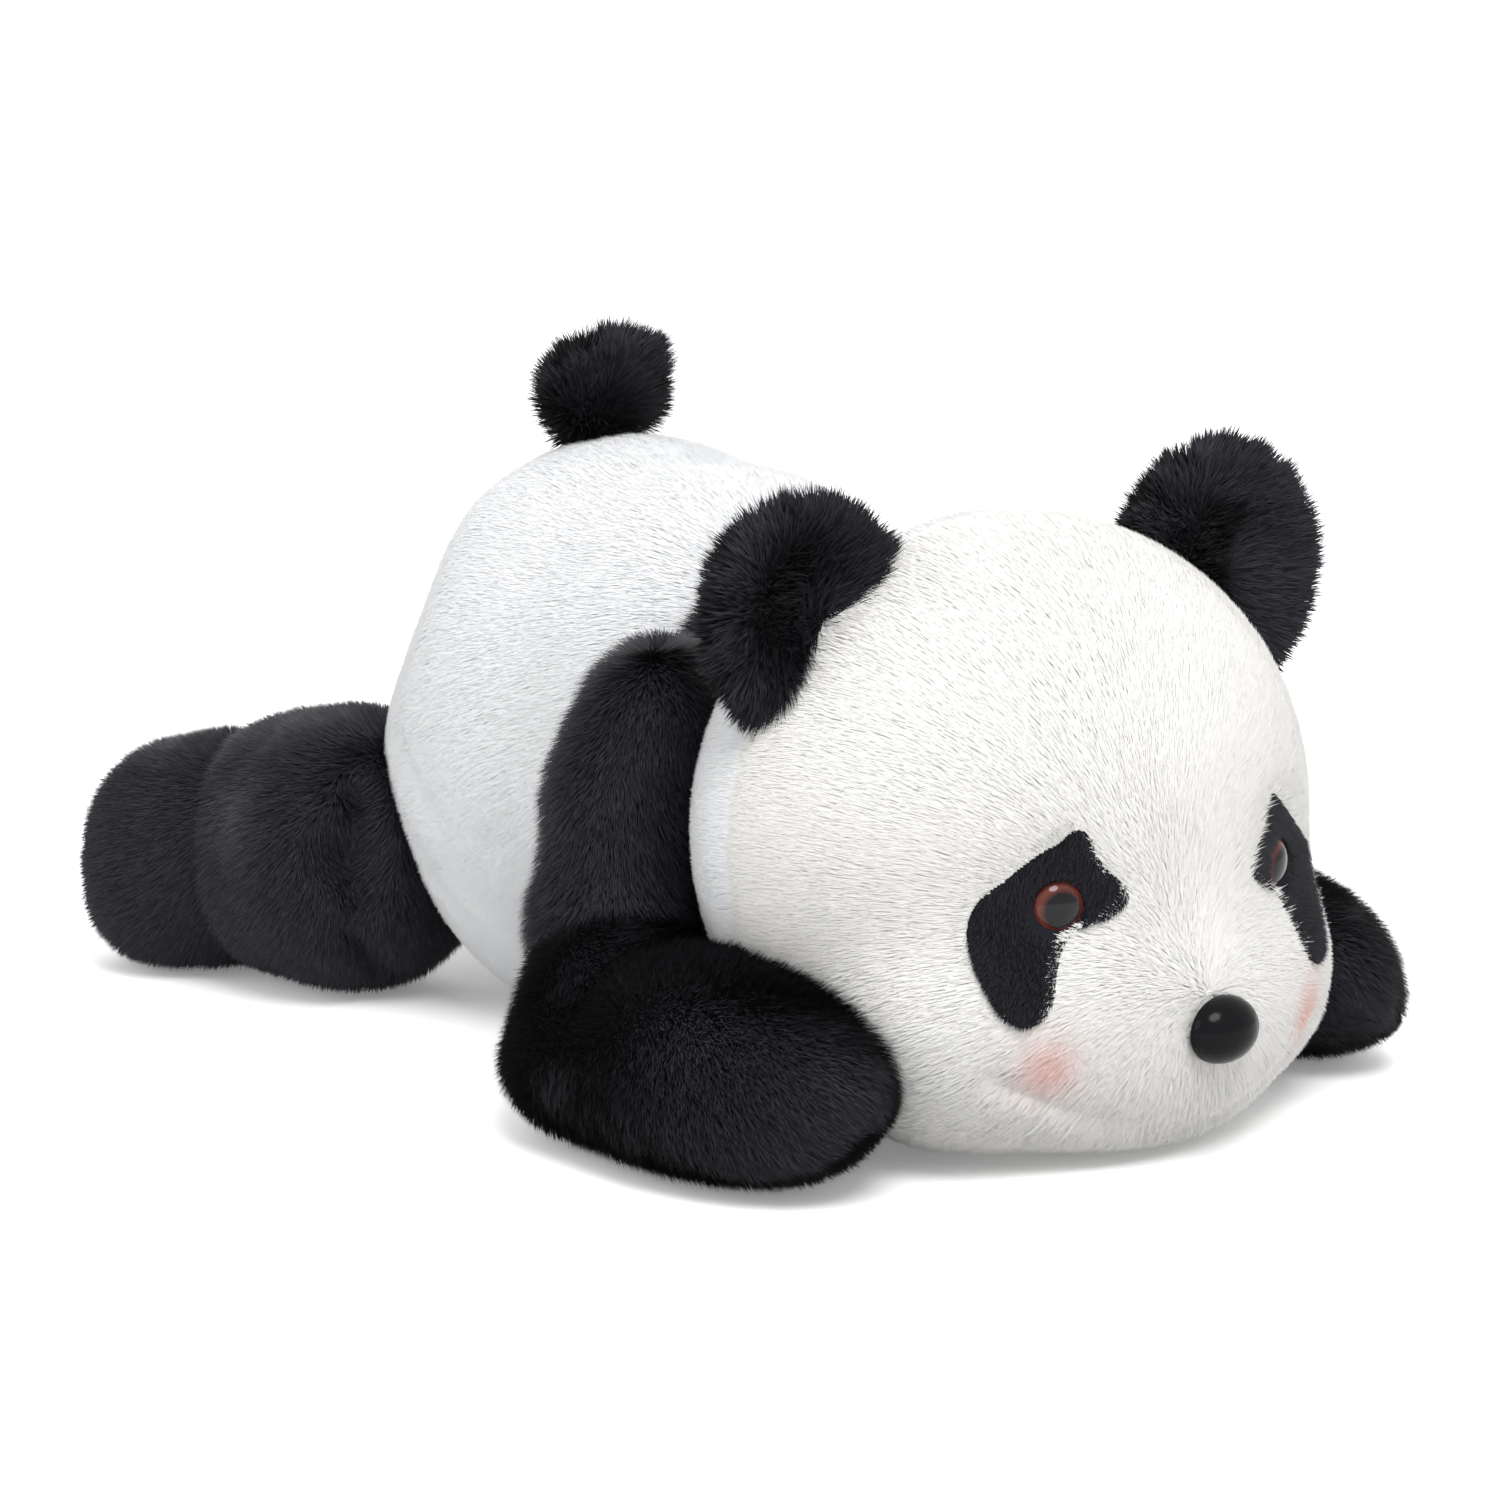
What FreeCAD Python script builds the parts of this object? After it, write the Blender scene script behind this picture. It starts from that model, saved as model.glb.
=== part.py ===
# Plush panda lying on its belly, facing -Y, resting on z = 0. Millimetres.
# Each soft part is a cover of one fabric thickness round a filling, shaped from ellipsoids.
# A limb that moves sits in a round socket centred on its joint, so the clearance holds while it turns.
import FreeCAD
import Part
import Sketcher
import math
import os
import re

SIZES = {
    # cloth and clearances
    "fabric": 2.0,
    "slack": 0.4,
    "gap": 0.4,
    "floor_gap": 0.5,
    # head: a wide ball with a low muzzle, on a ball neck
    "head_x": 122.0,
    "head_y": 97.0,
    "head_z": 107.0,
    "head_at_y": 148.0,
    "head_at_z": 104.0,
    "muzzle_x": 84.0,
    "muzzle_y": 54.0,
    "muzzle_z": 56.0,
    "muzzle_at_y": 204.0,
    "muzzle_at_z": 46.0,
    "face_seam_y": 138.0,
    "neck_r": 92.0,
    "neck_at_y": 26.0,
    "neck_at_z": 97.0,
    "wad_r": 34.0,
    # body
    "body_x": 98.0,
    "body_y": 104.0,
    "body_z": 118.0,
    "body_at_y": 58.0,
    "body_at_z": 108.0,
    "band_y": 42.0,
    # ears: round discs bent about their own base seam
    "ear_wide": 49.0,
    "ear_tall": 46.0,
    "ear_thick": 15.0,
    "ear_seam_r": 9.0,
    "ear_seam_long": 66.0,
    "ear_lift": 4.0,
    # tail
    "tail_x": 26.0,
    "tail_y": 19.0,
    "tail_z": 27.0,
    "tail_at_y": 91.0,
    "tail_rise": 20.0,
    "tail_root_r": 15.0,
    "tail_lift": 5.0,
    # arms
    "arm_r": 33.0,
    "arm_z": 70.0,
    "arm_at_x": 106.0,
    "arm_at_y": 48.0,
    "arm_at_z": 108.0,
    "elbow_cut_z": 64.0,
    "elbow_socket_r": 37.0,
    "elbow_x": 40.0,
    "elbow_y": 44.0,
    "elbow_z": 44.0,
    "elbow_at_x": 122.0,
    "elbow_at_y": 62.0,
    "paw_x": 42.0,
    "paw_y": 84.0,
    "paw_z": 40.0,
    "paw_at_x": 124.0,
    "paw_at_y": 138.0,
    "arm_clear": 6.0,
    "cheek_clear": 2.0,
    # legs
    "hip_r": 54.0,
    "hip_at_x": 71.0,
    "hip_at_y": 148.0,
    "foot_x": 40.0,
    "foot_y": 42.0,
    "foot_z": 44.0,
    "foot_at_x": 97.0,
    "foot_at_y": 226.2,
    # face fittings
    "eye_r": 10.0,
    "eye_back": 1.4,
    "eye_dome": 5.6,
    "eye_at_x": 52.0,
    "eye_at_z": 95.0,
    "stem_r": 2.5,
    "stem_long": 15.0,
    "stem_gap": 0.05,
    "seat": 0.3,
    "washer_r": 8.0,
    "washer_thick": 1.6,
    "washer_slot": 1.2,
    "washer_drop": 1.0,
    "nose_washer_drop": 1.8,
    "patch_thick": 1.2,
    "patch_gap": 0.15,
    "patch_long": 37.0,
    "patch_wide": 24.0,
    "patch_out": 9.0,
    "patch_down": 9.0,
    "patch_tilt": 20.0,
    "nose_x": 15.0,
    "nose_z": 12.0,
    "nose_deep": 11.0,
    "nose_at_z": 50.0,
    "nose_seat": 0.8,
}
TURN_DEG = 5.0    # the head turns this far before a cheek meets an arm
NOD_DEG = 10.0    # the head lifts this far
RIGHT = -1
LEFT = 1
SIDES = {"right": RIGHT, "left": LEFT}

doc = FreeCAD.newDocument("plush_panda")
sheet = doc.addObject("Spreadsheet::Sheet", "Sizes")
for row, (alias, value) in enumerate(SIZES.items(), start=1):
    sheet.set(f"A{row}", alias)
    sheet.set(f"B{row}", f"{value}")
    sheet.setAlias(f"B{row}", alias)
doc.recompute()


def cells(text):
    """Expression text with each word turned into its cell of the sheet."""
    return re.sub(r"[a-z][a-z_]*", lambda word: "Sizes." + word.group(0), str(text))


def size(text):
    """The value of an expression of sheet words."""
    total = sheet.evalExpression(cells(text))
    return float(total)


def bind(obj, **sizes):
    for prop, text in sizes.items():
        obj.setExpression(prop, cells(text))


def place(obj, at):
    for axis, text in zip("xyz", at):
        obj.setExpression(f"Placement.Base.{axis}", cells(text))


def ellipsoid(name, at, radii, grow="0"):
    obj = doc.addObject("Part::Ellipsoid", name)
    obj.Angle1 = -90
    obj.Angle2 = 90
    obj.Angle3 = 360
    bind(obj, Radius2=f"{radii[0]} + {grow}", Radius3=f"{radii[1]} + {grow}", Radius1=f"{radii[2]} + {grow}")
    place(obj, at)
    return obj


def sphere(name, at, radius, grow="0"):
    """A ball with its poles front and back."""
    obj = doc.addObject("Part::Sphere", name)
    bind(obj, Radius=f"{radius} + {grow}")
    obj.Placement.Rotation = FreeCAD.Rotation(FreeCAD.Vector(1, 0, 0), 90)
    place(obj, at)
    return obj


def box(name, low, sides):
    obj = doc.addObject("Part::Box", name)
    bind(obj, Length=sides[0], Width=sides[1], Height=sides[2])
    place(obj, low)
    return obj


def fuse(name, parts):
    if len(parts) == 1:
        return parts[0]
    obj = doc.addObject("Part::MultiFuse", name)
    obj.Shapes = parts
    return obj


def cut(name, base, tool):
    obj = doc.addObject("Part::Cut", name)
    obj.Base = base
    obj.Tool = tool
    return obj


def common(name, base, tool):
    obj = doc.addObject("Part::Common", name)
    obj.Base = base
    obj.Tool = tool
    return obj


def spun(obj, pivot, axis, degrees):
    """Turn an object about an axis through a pivot, after its place is set by the sheet."""
    doc.recompute()
    base = obj.Placement.Base
    for coordinate in "xyz":
        obj.setExpression(f"Placement.Base.{coordinate}", None)
    turn = FreeCAD.Placement(FreeCAD.Vector(0, 0, 0), FreeCAD.Rotation(axis, degrees), pivot)
    obj.Placement = turn.multiply(FreeCAD.Placement(base, FreeCAD.Rotation()))
    return obj


# How far each level of a soft part lies from its outer face.
LEVELS = {"outer": "0", "lining": "-1 * fabric", "filling": "-1 * fabric - slack"}


def soft_levels(name, balls, hollows):
    """The outer face, the lining and the filling of a soft part.

    balls and hollows are functions of a tag and a growth: what the part is made of, and what is taken away.
    """
    made = {}
    for level, grow in LEVELS.items():
        tag = f"{name}_{level}"
        lumps = fuse(f"{tag}_lumps", [ball(tag, grow) for ball in balls])
        opposite = grow.replace("-1 * fabric", "fabric").replace("- slack", "+ slack")
        tools = fuse(f"{tag}_hollows", [hollow(tag, opposite) for hollow in hollows])
        made[level] = cut(f"{tag}_whole", lumps, tools)
    return made


def panel(name, levels, side_box):
    """The piece of a cover on one side of a seam."""
    piece = common(f"{name}_block", levels["outer"], side_box)
    return cut(name, piece, levels["lining"])


def ball(label, at, radii):
    return lambda tag, grow: ellipsoid(f"{tag}_{label}", at, radii, grow)


def round_ball(label, at, radius):
    return lambda tag, grow: sphere(f"{tag}_{label}", at, radius, grow)


def round_hollow(label, at, radius, extra="gap"):
    return lambda tag, grow: sphere(f"{tag}_{label}", at, radius, f"{extra} + {grow}")


def below(height):
    """Everything under a level plane, as something to take away."""
    return lambda tag, grow: box(
        f"{tag}_under", ("-400", "-400", f"{height} + {grow} - 200"), ("800", "800", "200"))


def above(height, at, radius):
    """An upright round pocket open upwards."""
    def make(tag, grow):
        obj = doc.addObject("Part::Cylinder", f"{tag}_pocket")
        bind(obj, Radius=f"{radius} + {grow}", Height="120")
        place(obj, (at[0], at[1], f"{height} - ({grow})"))
        return obj
    return make


def finish(obj, label):
    obj.Label = label
    PARTS[label] = obj


PARTS = {}
HEAD_AT = ("0", "-head_at_y", "head_at_z")
HEAD_R = ("head_x", "head_y", "head_z")
MUZZLE_AT = ("0", "-muzzle_at_y", "muzzle_at_z")
MUZZLE_R = ("muzzle_x", "muzzle_y", "muzzle_z")
NECK_AT = ("0", "-neck_at_y", "neck_at_z")
BODY_AT = ("0", "body_at_y", "body_at_z")
BODY_R = ("body_x", "body_y", "body_z")
neck_pivot = FreeCAD.Vector(*[size(text) for text in NECK_AT])


# ---- where the ears, the tail and the eyes meet the surface ----
def head_point(x, z):
    """The front of the head ball at a given x and z."""
    across = (x / size("head_x")) ** 2 + ((z - size("head_at_z")) / size("head_z")) ** 2
    return FreeCAD.Vector(x, -size("head_at_y") - size("head_y") * math.sqrt(1 - across), z)


def head_normal(point):
    centre = FreeCAD.Vector(0, -size("head_at_y"), size("head_at_z"))
    away = point - centre
    slope = FreeCAD.Vector(
        away.x / size("head_x") ** 2, away.y / size("head_y") ** 2, away.z / size("head_z") ** 2)
    return slope.normalize()


EAR_LEAN_DEG = 46.0
ear_axis = {}
ear_root = {}
for side, sign in SIDES.items():
    lean = math.radians(EAR_LEAN_DEG)
    reach = 1 / math.hypot(math.sin(lean) / size("head_x"), math.cos(lean) / size("head_z"))
    out = FreeCAD.Vector(sign * math.sin(lean), 0, math.cos(lean))
    centre = FreeCAD.Vector(0, -size("face_seam_y"), size("head_at_z"))
    ear_root[side] = centre + out * reach
    ear_axis[side] = head_normal(FreeCAD.Vector(ear_root[side].x, -size("head_at_y"), ear_root[side].z))


def ear_seam(side, extra):
    """The rolled base seam of an ear, lying along the head, as a rod."""
    def make(tag, grow):
        rod = doc.addObject("Part::Cylinder", f"{tag}_seam_{side}")
        bind(rod, Radius=f"ear_seam_r + {extra} + {grow}", Height=f"ear_seam_long + 2 * ({extra} + {grow})")
        along = FreeCAD.Vector(0, 1, 0).cross(ear_axis[side])
        doc.recompute()
        start = ear_root[side] - ear_axis[side] - along * (rod.Height.Value / 2)
        rod.Placement = FreeCAD.Placement(start, FreeCAD.Rotation(FreeCAD.Vector(0, 0, 1), along))
        return rod
    return make


# ---- head ----
head_levels = soft_levels(
    "head",
    [ball("skull", HEAD_AT, HEAD_R), ball("muzzle", MUZZLE_AT, MUZZLE_R)],
    [round_hollow("neck", NECK_AT, "neck_r"), below("floor_gap"),
     ear_seam("right", "gap"), ear_seam("left", "gap")])

eye_frame = {}
for side, sign in SIDES.items():
    point = head_point(sign * size("eye_at_x"), size("eye_at_z"))
    facing = head_normal(point)
    seat = point - facing * size("seat")
    eye_frame[side] = FreeCAD.Placement(seat, FreeCAD.Rotation(FreeCAD.Vector(0, 0, 1), facing))
nose_front = -size("muzzle_at_y") - size("muzzle_y")
nose_seat = FreeCAD.Vector(0, nose_front + size("nose_seat"), size("nose_at_z"))
nose_frame = FreeCAD.Placement(nose_seat, FreeCAD.Rotation(FreeCAD.Vector(0, 0, 1), FreeCAD.Vector(0, -1, 0)))


def rod_on(frame, name, radius, low, high):
    """A rod along the outward axis of an eye or of the nose, between two depths."""
    rod = doc.addObject("Part::Cylinder", name)
    bind(rod, Radius=radius, Height=f"({high}) - ({low})")
    rod.Placement = frame.multiply(FreeCAD.Placement(FreeCAD.Vector(0, 0, size(low)), FreeCAD.Rotation()))
    return rod


FITTINGS = {"eye_right": eye_frame["right"], "eye_left": eye_frame["left"], "nose": nose_frame}
seats = []
wells = []
for name, frame in FITTINGS.items():
    wide = "nose_x + 0.3" if name == "nose" else "eye_r + 0.3"
    seats.append(rod_on(frame, f"{name}_seat", wide, "0", "20"))
    seats.append(rod_on(frame, f"{name}_stem_hole", "stem_r + 0.1", "-8", "2"))
    wells.append(rod_on(frame, f"{name}_well", "washer_r + 0.8", "-1 * stem_long - 3", "6"))
seat_cuts = fuse("fitting_seats", seats)
well_cuts = fuse("fitting_wells", wells)

face_side = box("face_side", ("-400", "-face_seam_y - 400", "-100"), ("800", "400", "500"))
back_side = box("back_side", ("-400", "-face_seam_y", "-100"), ("800", "400", "500"))
face_panel = panel("face_panel", head_levels, face_side)
finish(cut("head_cover_face", face_panel, seat_cuts), "head_cover_face")
finish(panel("head_cover_back", head_levels, back_side), "head_cover_back")
finish(cut("head_stuffing", head_levels["filling"], well_cuts), "head_stuffing")

# ---- eye patches: short pile sewn on the face, an oval drooping outwards ----
patch_outer = fuse("patch_outer", [
    ellipsoid("patch_skull_top", HEAD_AT, HEAD_R, "patch_thick"),
    ellipsoid("patch_muzzle_top", MUZZLE_AT, MUZZLE_R, "patch_thick")])
patch_inner = fuse("patch_inner", [
    ellipsoid("patch_skull_base", HEAD_AT, HEAD_R, "patch_gap"),
    ellipsoid("patch_muzzle_base", MUZZLE_AT, MUZZLE_R, "patch_gap")])
patch_skin = cut("patch_skin", patch_outer, patch_inner)
patch_skin_seated = cut("patch_skin_seated", patch_skin, seat_cuts)
for side, sign in SIDES.items():
    body = doc.addObject("PartDesign::Body", f"patch_outline_{side}")
    plane = next(item for item in body.Origin.OriginFeatures if item.Role == "XZ_Plane")
    sketch = body.newObject("Sketcher::SketchObject", f"patch_sketch_{side}")
    sketch.AttachmentSupport = (plane, [""])
    sketch.MapMode = "FlatFace"
    centre = FreeCAD.Vector(0, 0, 0)
    tip = FreeCAD.Vector(0, 30, 0)
    flank = FreeCAD.Vector(20, 0, 0)
    sketch.addGeometry(Part.Ellipse(tip, flank, centre), False)
    sketch.exposeInternalGeometry(0)
    sketch.addConstraint(Sketcher.Constraint("Coincident", 0, 3, -1, 1))
    sketch.addConstraint(Sketcher.Constraint("Vertical", 1))
    long_dim = sketch.addConstraint(Sketcher.Constraint("Distance", 1, 60.0))
    wide_dim = sketch.addConstraint(Sketcher.Constraint("Distance", 2, 40.0))
    sketch.setExpression(f"Constraints[{long_dim}]", cells("2 * patch_long"))
    sketch.setExpression(f"Constraints[{wide_dim}]", cells("2 * patch_wide"))
    pad = body.newObject("PartDesign::Pad", f"patch_pad_{side}")
    pad.Profile = sketch
    pad.Length = 160
    middle = FreeCAD.Vector(
        sign * size("eye_at_x + patch_out"), -size("head_at_y") - 2, size("eye_at_z - patch_down"))
    body.Placement = FreeCAD.Placement(
        middle, FreeCAD.Rotation(FreeCAD.Vector(0, 1, 0), -sign * size("patch_tilt")))
    finish(common(f"eye_patch_{side}", patch_skin_seated, body), f"eye_patch_{side}")


# ---- eyes: a stemmed back with a clear dome, held by a slotted washer behind the cover ----
def turned(name, corners, arc=None):
    """A body turned about its own Z axis from a closed outline of (radius, height) corners.

    arc is the index of the edge that is a round cap ending on the axis.
    """
    body = doc.addObject("PartDesign::Body", name)
    plane = next(item for item in body.Origin.OriginFeatures if item.Role == "XZ_Plane")
    sketch = body.newObject("Sketcher::SketchObject", f"{name}_outline")
    sketch.AttachmentSupport = (plane, [""])
    sketch.MapMode = "FlatFace"
    points = [FreeCAD.Vector(size(radius), size(height), 0) for radius, height in corners]
    count = len(points)
    for index, start in enumerate(points):
        end = points[(index + 1) % count]
        if index == arc:
            rise = end.y - start.y
            radius = (start.x ** 2 + rise ** 2) / (2 * rise)
            centre = FreeCAD.Vector(0, end.y - radius, 0)
            circle = Part.Circle(centre, FreeCAD.Vector(0, 0, 1), radius)
            first = math.atan2(start.y - centre.y, start.x)
            sketch.addGeometry(Part.ArcOfCircle(circle, first, math.pi / 2), False)
        else:
            sketch.addGeometry(Part.LineSegment(start, end), False)
    for index in range(count):
        sketch.addConstraint(Sketcher.Constraint("Coincident", index, 2, (index + 1) % count, 1))
    if arc is not None:
        sketch.addConstraint(Sketcher.Constraint("PointOnObject", arc, 3, -2))
    for index, (radius, height) in enumerate(corners):
        if size(radius) == 0:
            sketch.addConstraint(Sketcher.Constraint("PointOnObject", index, 1, -2))
        else:
            across = sketch.addConstraint(Sketcher.Constraint("DistanceX", -1, 1, index, 1, points[index].x))
            sketch.setExpression(f"Constraints[{across}]", cells(radius))
        if size(height) == 0:
            sketch.addConstraint(Sketcher.Constraint("PointOnObject", index, 1, -1))
        else:
            up = sketch.addConstraint(Sketcher.Constraint("DistanceY", -1, 1, index, 1, points[index].y))
            sketch.setExpression(f"Constraints[{up}]", cells(height))
    spin = body.newObject("PartDesign::Revolution", f"{name}_turned")
    spin.Profile = sketch
    spin.ReferenceAxis = (sketch, ["V_Axis"])
    spin.Angle = 360
    return body


def washer(name, frame, depth):
    """A slotted spring washer pressed onto a stem."""
    body = doc.addObject("PartDesign::Body", name)
    plane = next(item for item in body.Origin.OriginFeatures if item.Role == "XY_Plane")
    disc = body.newObject("Sketcher::SketchObject", f"{name}_disc")
    disc.AttachmentSupport = (plane, [""])
    disc.MapMode = "FlatFace"
    for radius in ("washer_r", "stem_r + stem_gap"):
        ring = disc.addGeometry(
            Part.Circle(FreeCAD.Vector(0, 0, 0), FreeCAD.Vector(0, 0, 1), size(radius)), False)
        disc.addConstraint(Sketcher.Constraint("Coincident", ring, 3, -1, 1))
        dim = disc.addConstraint(Sketcher.Constraint("Radius", ring, size(radius)))
        disc.setExpression(f"Constraints[{dim}]", cells(radius))
    pad = body.newObject("PartDesign::Pad", f"{name}_plate")
    pad.Profile = disc
    bind(pad, Length="washer_thick")
    slot = body.newObject("Sketcher::SketchObject", f"{name}_slot")
    slot.AttachmentSupport = (plane, [""])
    slot.MapMode = "FlatFace"
    half = size("washer_slot") / 2
    reach = size("washer_r") * 0.65
    corners = [(half, 0), (half, reach), (-half, reach), (-half, 0)]
    for index, (x, y) in enumerate(corners):
        after = corners[(index + 1) % 4]
        slot.addGeometry(Part.LineSegment(FreeCAD.Vector(x, y, 0), FreeCAD.Vector(after[0], after[1], 0)), False)
    for index in range(4):
        slot.addConstraint(Sketcher.Constraint("Coincident", index, 2, (index + 1) % 4, 1))
        slot.addConstraint(Sketcher.Constraint("Vertical" if index % 2 == 0 else "Horizontal", index))
    slot.addConstraint(Sketcher.Constraint("Symmetric", 3, 1, 3, 2, -1, 1))
    wide = slot.addConstraint(Sketcher.Constraint("DistanceX", 3, 1, 3, 2, 2 * half))
    slot.setExpression(f"Constraints[{wide}]", cells("washer_slot"))
    tall = slot.addConstraint(Sketcher.Constraint("DistanceY", 0, 1, 0, 2, reach))
    slot.setExpression(f"Constraints[{tall}]", cells("washer_r * 0.65"))
    pocket = body.newObject("PartDesign::Pocket", f"{name}_slit")
    pocket.Profile = slot
    pocket.Type = "ThroughAll"
    pocket.Reversed = True
    around = body.newObject("PartDesign::PolarPattern", f"{name}_slits")
    around.Originals = [pocket]
    around.Axis = (disc, ["N_Axis"])
    around.Angle = 360
    around.Occurrences = 6
    body.Tip = around
    body.Placement = frame.multiply(FreeCAD.Placement(FreeCAD.Vector(0, 0, depth), FreeCAD.Rotation()))
    return body


for side in SIDES:
    back = turned(f"eye_back_{side}", [
        ("0", "-1 * stem_long"), ("stem_r", "-1 * stem_long"), ("stem_r", "0"),
        ("eye_r", "0"), ("eye_r", "eye_back"), ("0", "eye_back")])
    back.Placement = eye_frame[side]
    finish(back, f"eye_back_{side}")
    dome = turned(f"eye_dome_{side}", [
        ("0", "eye_back"), ("eye_r", "eye_back"), ("0", "eye_back + eye_dome")], arc=1)
    dome.Placement = eye_frame[side]
    finish(dome, f"eye_dome_{side}")
    behind = size("seat - fabric - washer_drop - washer_thick")
    finish(washer(f"eye_washer_{side}", eye_frame[side], behind), f"eye_washer_{side}")

nose_ball = ellipsoid(
    "nose_ball", ("0", "-1 * (muzzle_at_y + muzzle_y - nose_seat)", "nose_at_z"), ("nose_x", "nose_deep", "nose_z"))
nose_half = box(
    "nose_half", ("-1 * nose_x - 5", "-1 * (muzzle_at_y + muzzle_y - nose_seat) - 60", "0"), ("2 * nose_x + 10", "60", "200"))
nose_dome = common("nose_dome", nose_ball, nose_half)
nose_stem = rod_on(nose_frame, "nose_stem", "stem_r", "-1 * stem_long", "2")
finish(fuse("nose", [nose_dome, nose_stem]), "nose")
finish(washer("nose_washer", nose_frame, size("nose_seat - fabric - nose_washer_drop - washer_thick")), "nose_washer")

# ---- ears ----
for side, sign in SIDES.items():
    def disc(tag, grow, side=side):
        obj = doc.addObject("Part::Ellipsoid", f"{tag}_disc")
        obj.Angle1 = -90
        obj.Angle2 = 90
        obj.Angle3 = 360
        bind(obj, Radius1=f"ear_tall + {grow}", Radius2=f"ear_wide + {grow}", Radius3=f"ear_thick + {grow}")
        obj.Placement = FreeCAD.Placement(
            ear_root[side], FreeCAD.Rotation(FreeCAD.Vector(0, 0, 1), ear_axis[side]))
        return obj

    def head_clear(tag, grow):
        return ellipsoid(f"{tag}_head", HEAD_AT, HEAD_R, f"ear_lift + {grow}")

    ear_core = {}
    for level, grow in LEVELS.items():
        tag = f"ear_{side}_{level}"
        opposite = grow.replace("-1 * fabric", "fabric").replace("- slack", "+ slack")
        lobe = cut(f"{tag}_lobe", disc(tag, grow), head_clear(tag, opposite))
        ear_core[level] = fuse(f"{tag}_whole", [lobe, ear_seam(side, "0")(tag, grow)])
    finish(panel(f"ear_front_{side}", ear_core, face_side), f"ear_front_{side}")
    finish(panel(f"ear_back_{side}", ear_core, back_side), f"ear_back_{side}")
    ear_core["filling"].Label = f"ear_stuffing_{side}"
    PARTS[f"ear_stuffing_{side}"] = ear_core["filling"]

# ---- body, neck wad and tail ----
ARM_R = ("arm_r", "arm_r", "arm_z")
body_top = size("body_at_z") + size("body_z") * math.sqrt(
    1 - ((size("tail_at_y") - size("body_at_y")) / size("body_y")) ** 2)
TAIL_ROOT = ("0", "tail_at_y", f"{body_top:.3f}")
TAIL_AT = ("0", "tail_at_y", f"{body_top:.3f} + tail_rise")


def arm_at(sign):
    return (f"{sign} * arm_at_x", "-arm_at_y", "arm_at_z")


def hip_at(sign):
    return (f"{sign} * hip_at_x", "hip_at_y", "hip_r + floor_gap")


def arm_socket(sign):
    return lambda tag, grow: ellipsoid(f"{tag}_arm{sign + 1}", arm_at(sign), ARM_R, f"gap + {grow}")


body_levels = soft_levels(
    "body",
    [ball("rump", BODY_AT, BODY_R), round_ball("shoulders", NECK_AT, "neck_r")],
    [below("0"), arm_socket(RIGHT), arm_socket(LEFT),
     round_hollow("hip_right", hip_at(RIGHT), "hip_r"), round_hollow("hip_left", hip_at(LEFT), "hip_r"),
     round_hollow("tail_root", TAIL_ROOT, "tail_root_r")])
band_side = box("band_side", ("-400", "-band_y - 400", "-100"), ("800", "400", "500"))
rump_side = box("rump_side", ("-400", "-band_y", "-100"), ("800", "600", "500"))
finish(panel("body_cover_band", body_levels, band_side), "body_cover_band")
finish(panel("body_cover_white", body_levels, rump_side), "body_cover_white")
wad_room = sphere("wad_room", NECK_AT, "wad_r", "gap")
finish(cut("body_stuffing", body_levels["filling"], wad_room), "body_stuffing")
finish(sphere("neck_wad", NECK_AT, "wad_r"), "neck_wad")

tail_core = {}
for level, grow in LEVELS.items():
    tag = f"tail_{level}"
    opposite = grow.replace("-1 * fabric", "fabric").replace("- slack", "+ slack")
    puff = ellipsoid(f"{tag}_puff", TAIL_AT, ("tail_x", "tail_y", "tail_z"), grow)
    rump = ellipsoid(f"{tag}_rump", BODY_AT, BODY_R, f"tail_lift + {opposite}")
    lobe = cut(f"{tag}_lobe", puff, rump)
    root = sphere(f"{tag}_root", TAIL_ROOT, "tail_root_r", grow)
    tail_core[level] = fuse(f"{tag}_whole", [lobe, root])
finish(cut("tail_cover", tail_core["outer"], tail_core["lining"]), "tail_cover")
tail_core["filling"].Label = "tail_stuffing"
PARTS["tail_stuffing"] = tail_core["filling"]


# ---- arms: cleared for the head in every place it can take ----
def head_sweep(tag, grow):
    lumps = []
    for turn in (-TURN_DEG, TURN_DEG):
        for nod in (0.0, NOD_DEG):
            for label, at, radii in (("skull", HEAD_AT, HEAD_R), ("muzzle", MUZZLE_AT, MUZZLE_R)):
                lump = ellipsoid(f"{tag}_{label}_swept", at, radii, f"cheek_clear + {grow}")
                spun(lump, neck_pivot, FreeCAD.Vector(1, 0, 0), -nod)
                swing = FreeCAD.Placement(
                    FreeCAD.Vector(0, 0, 0), FreeCAD.Rotation(FreeCAD.Vector(0, 0, 1), turn), neck_pivot)
                lump.Placement = swing.multiply(lump.Placement)
                lumps.append(lump)
    return fuse(f"{tag}_head_swept", lumps)


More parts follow.
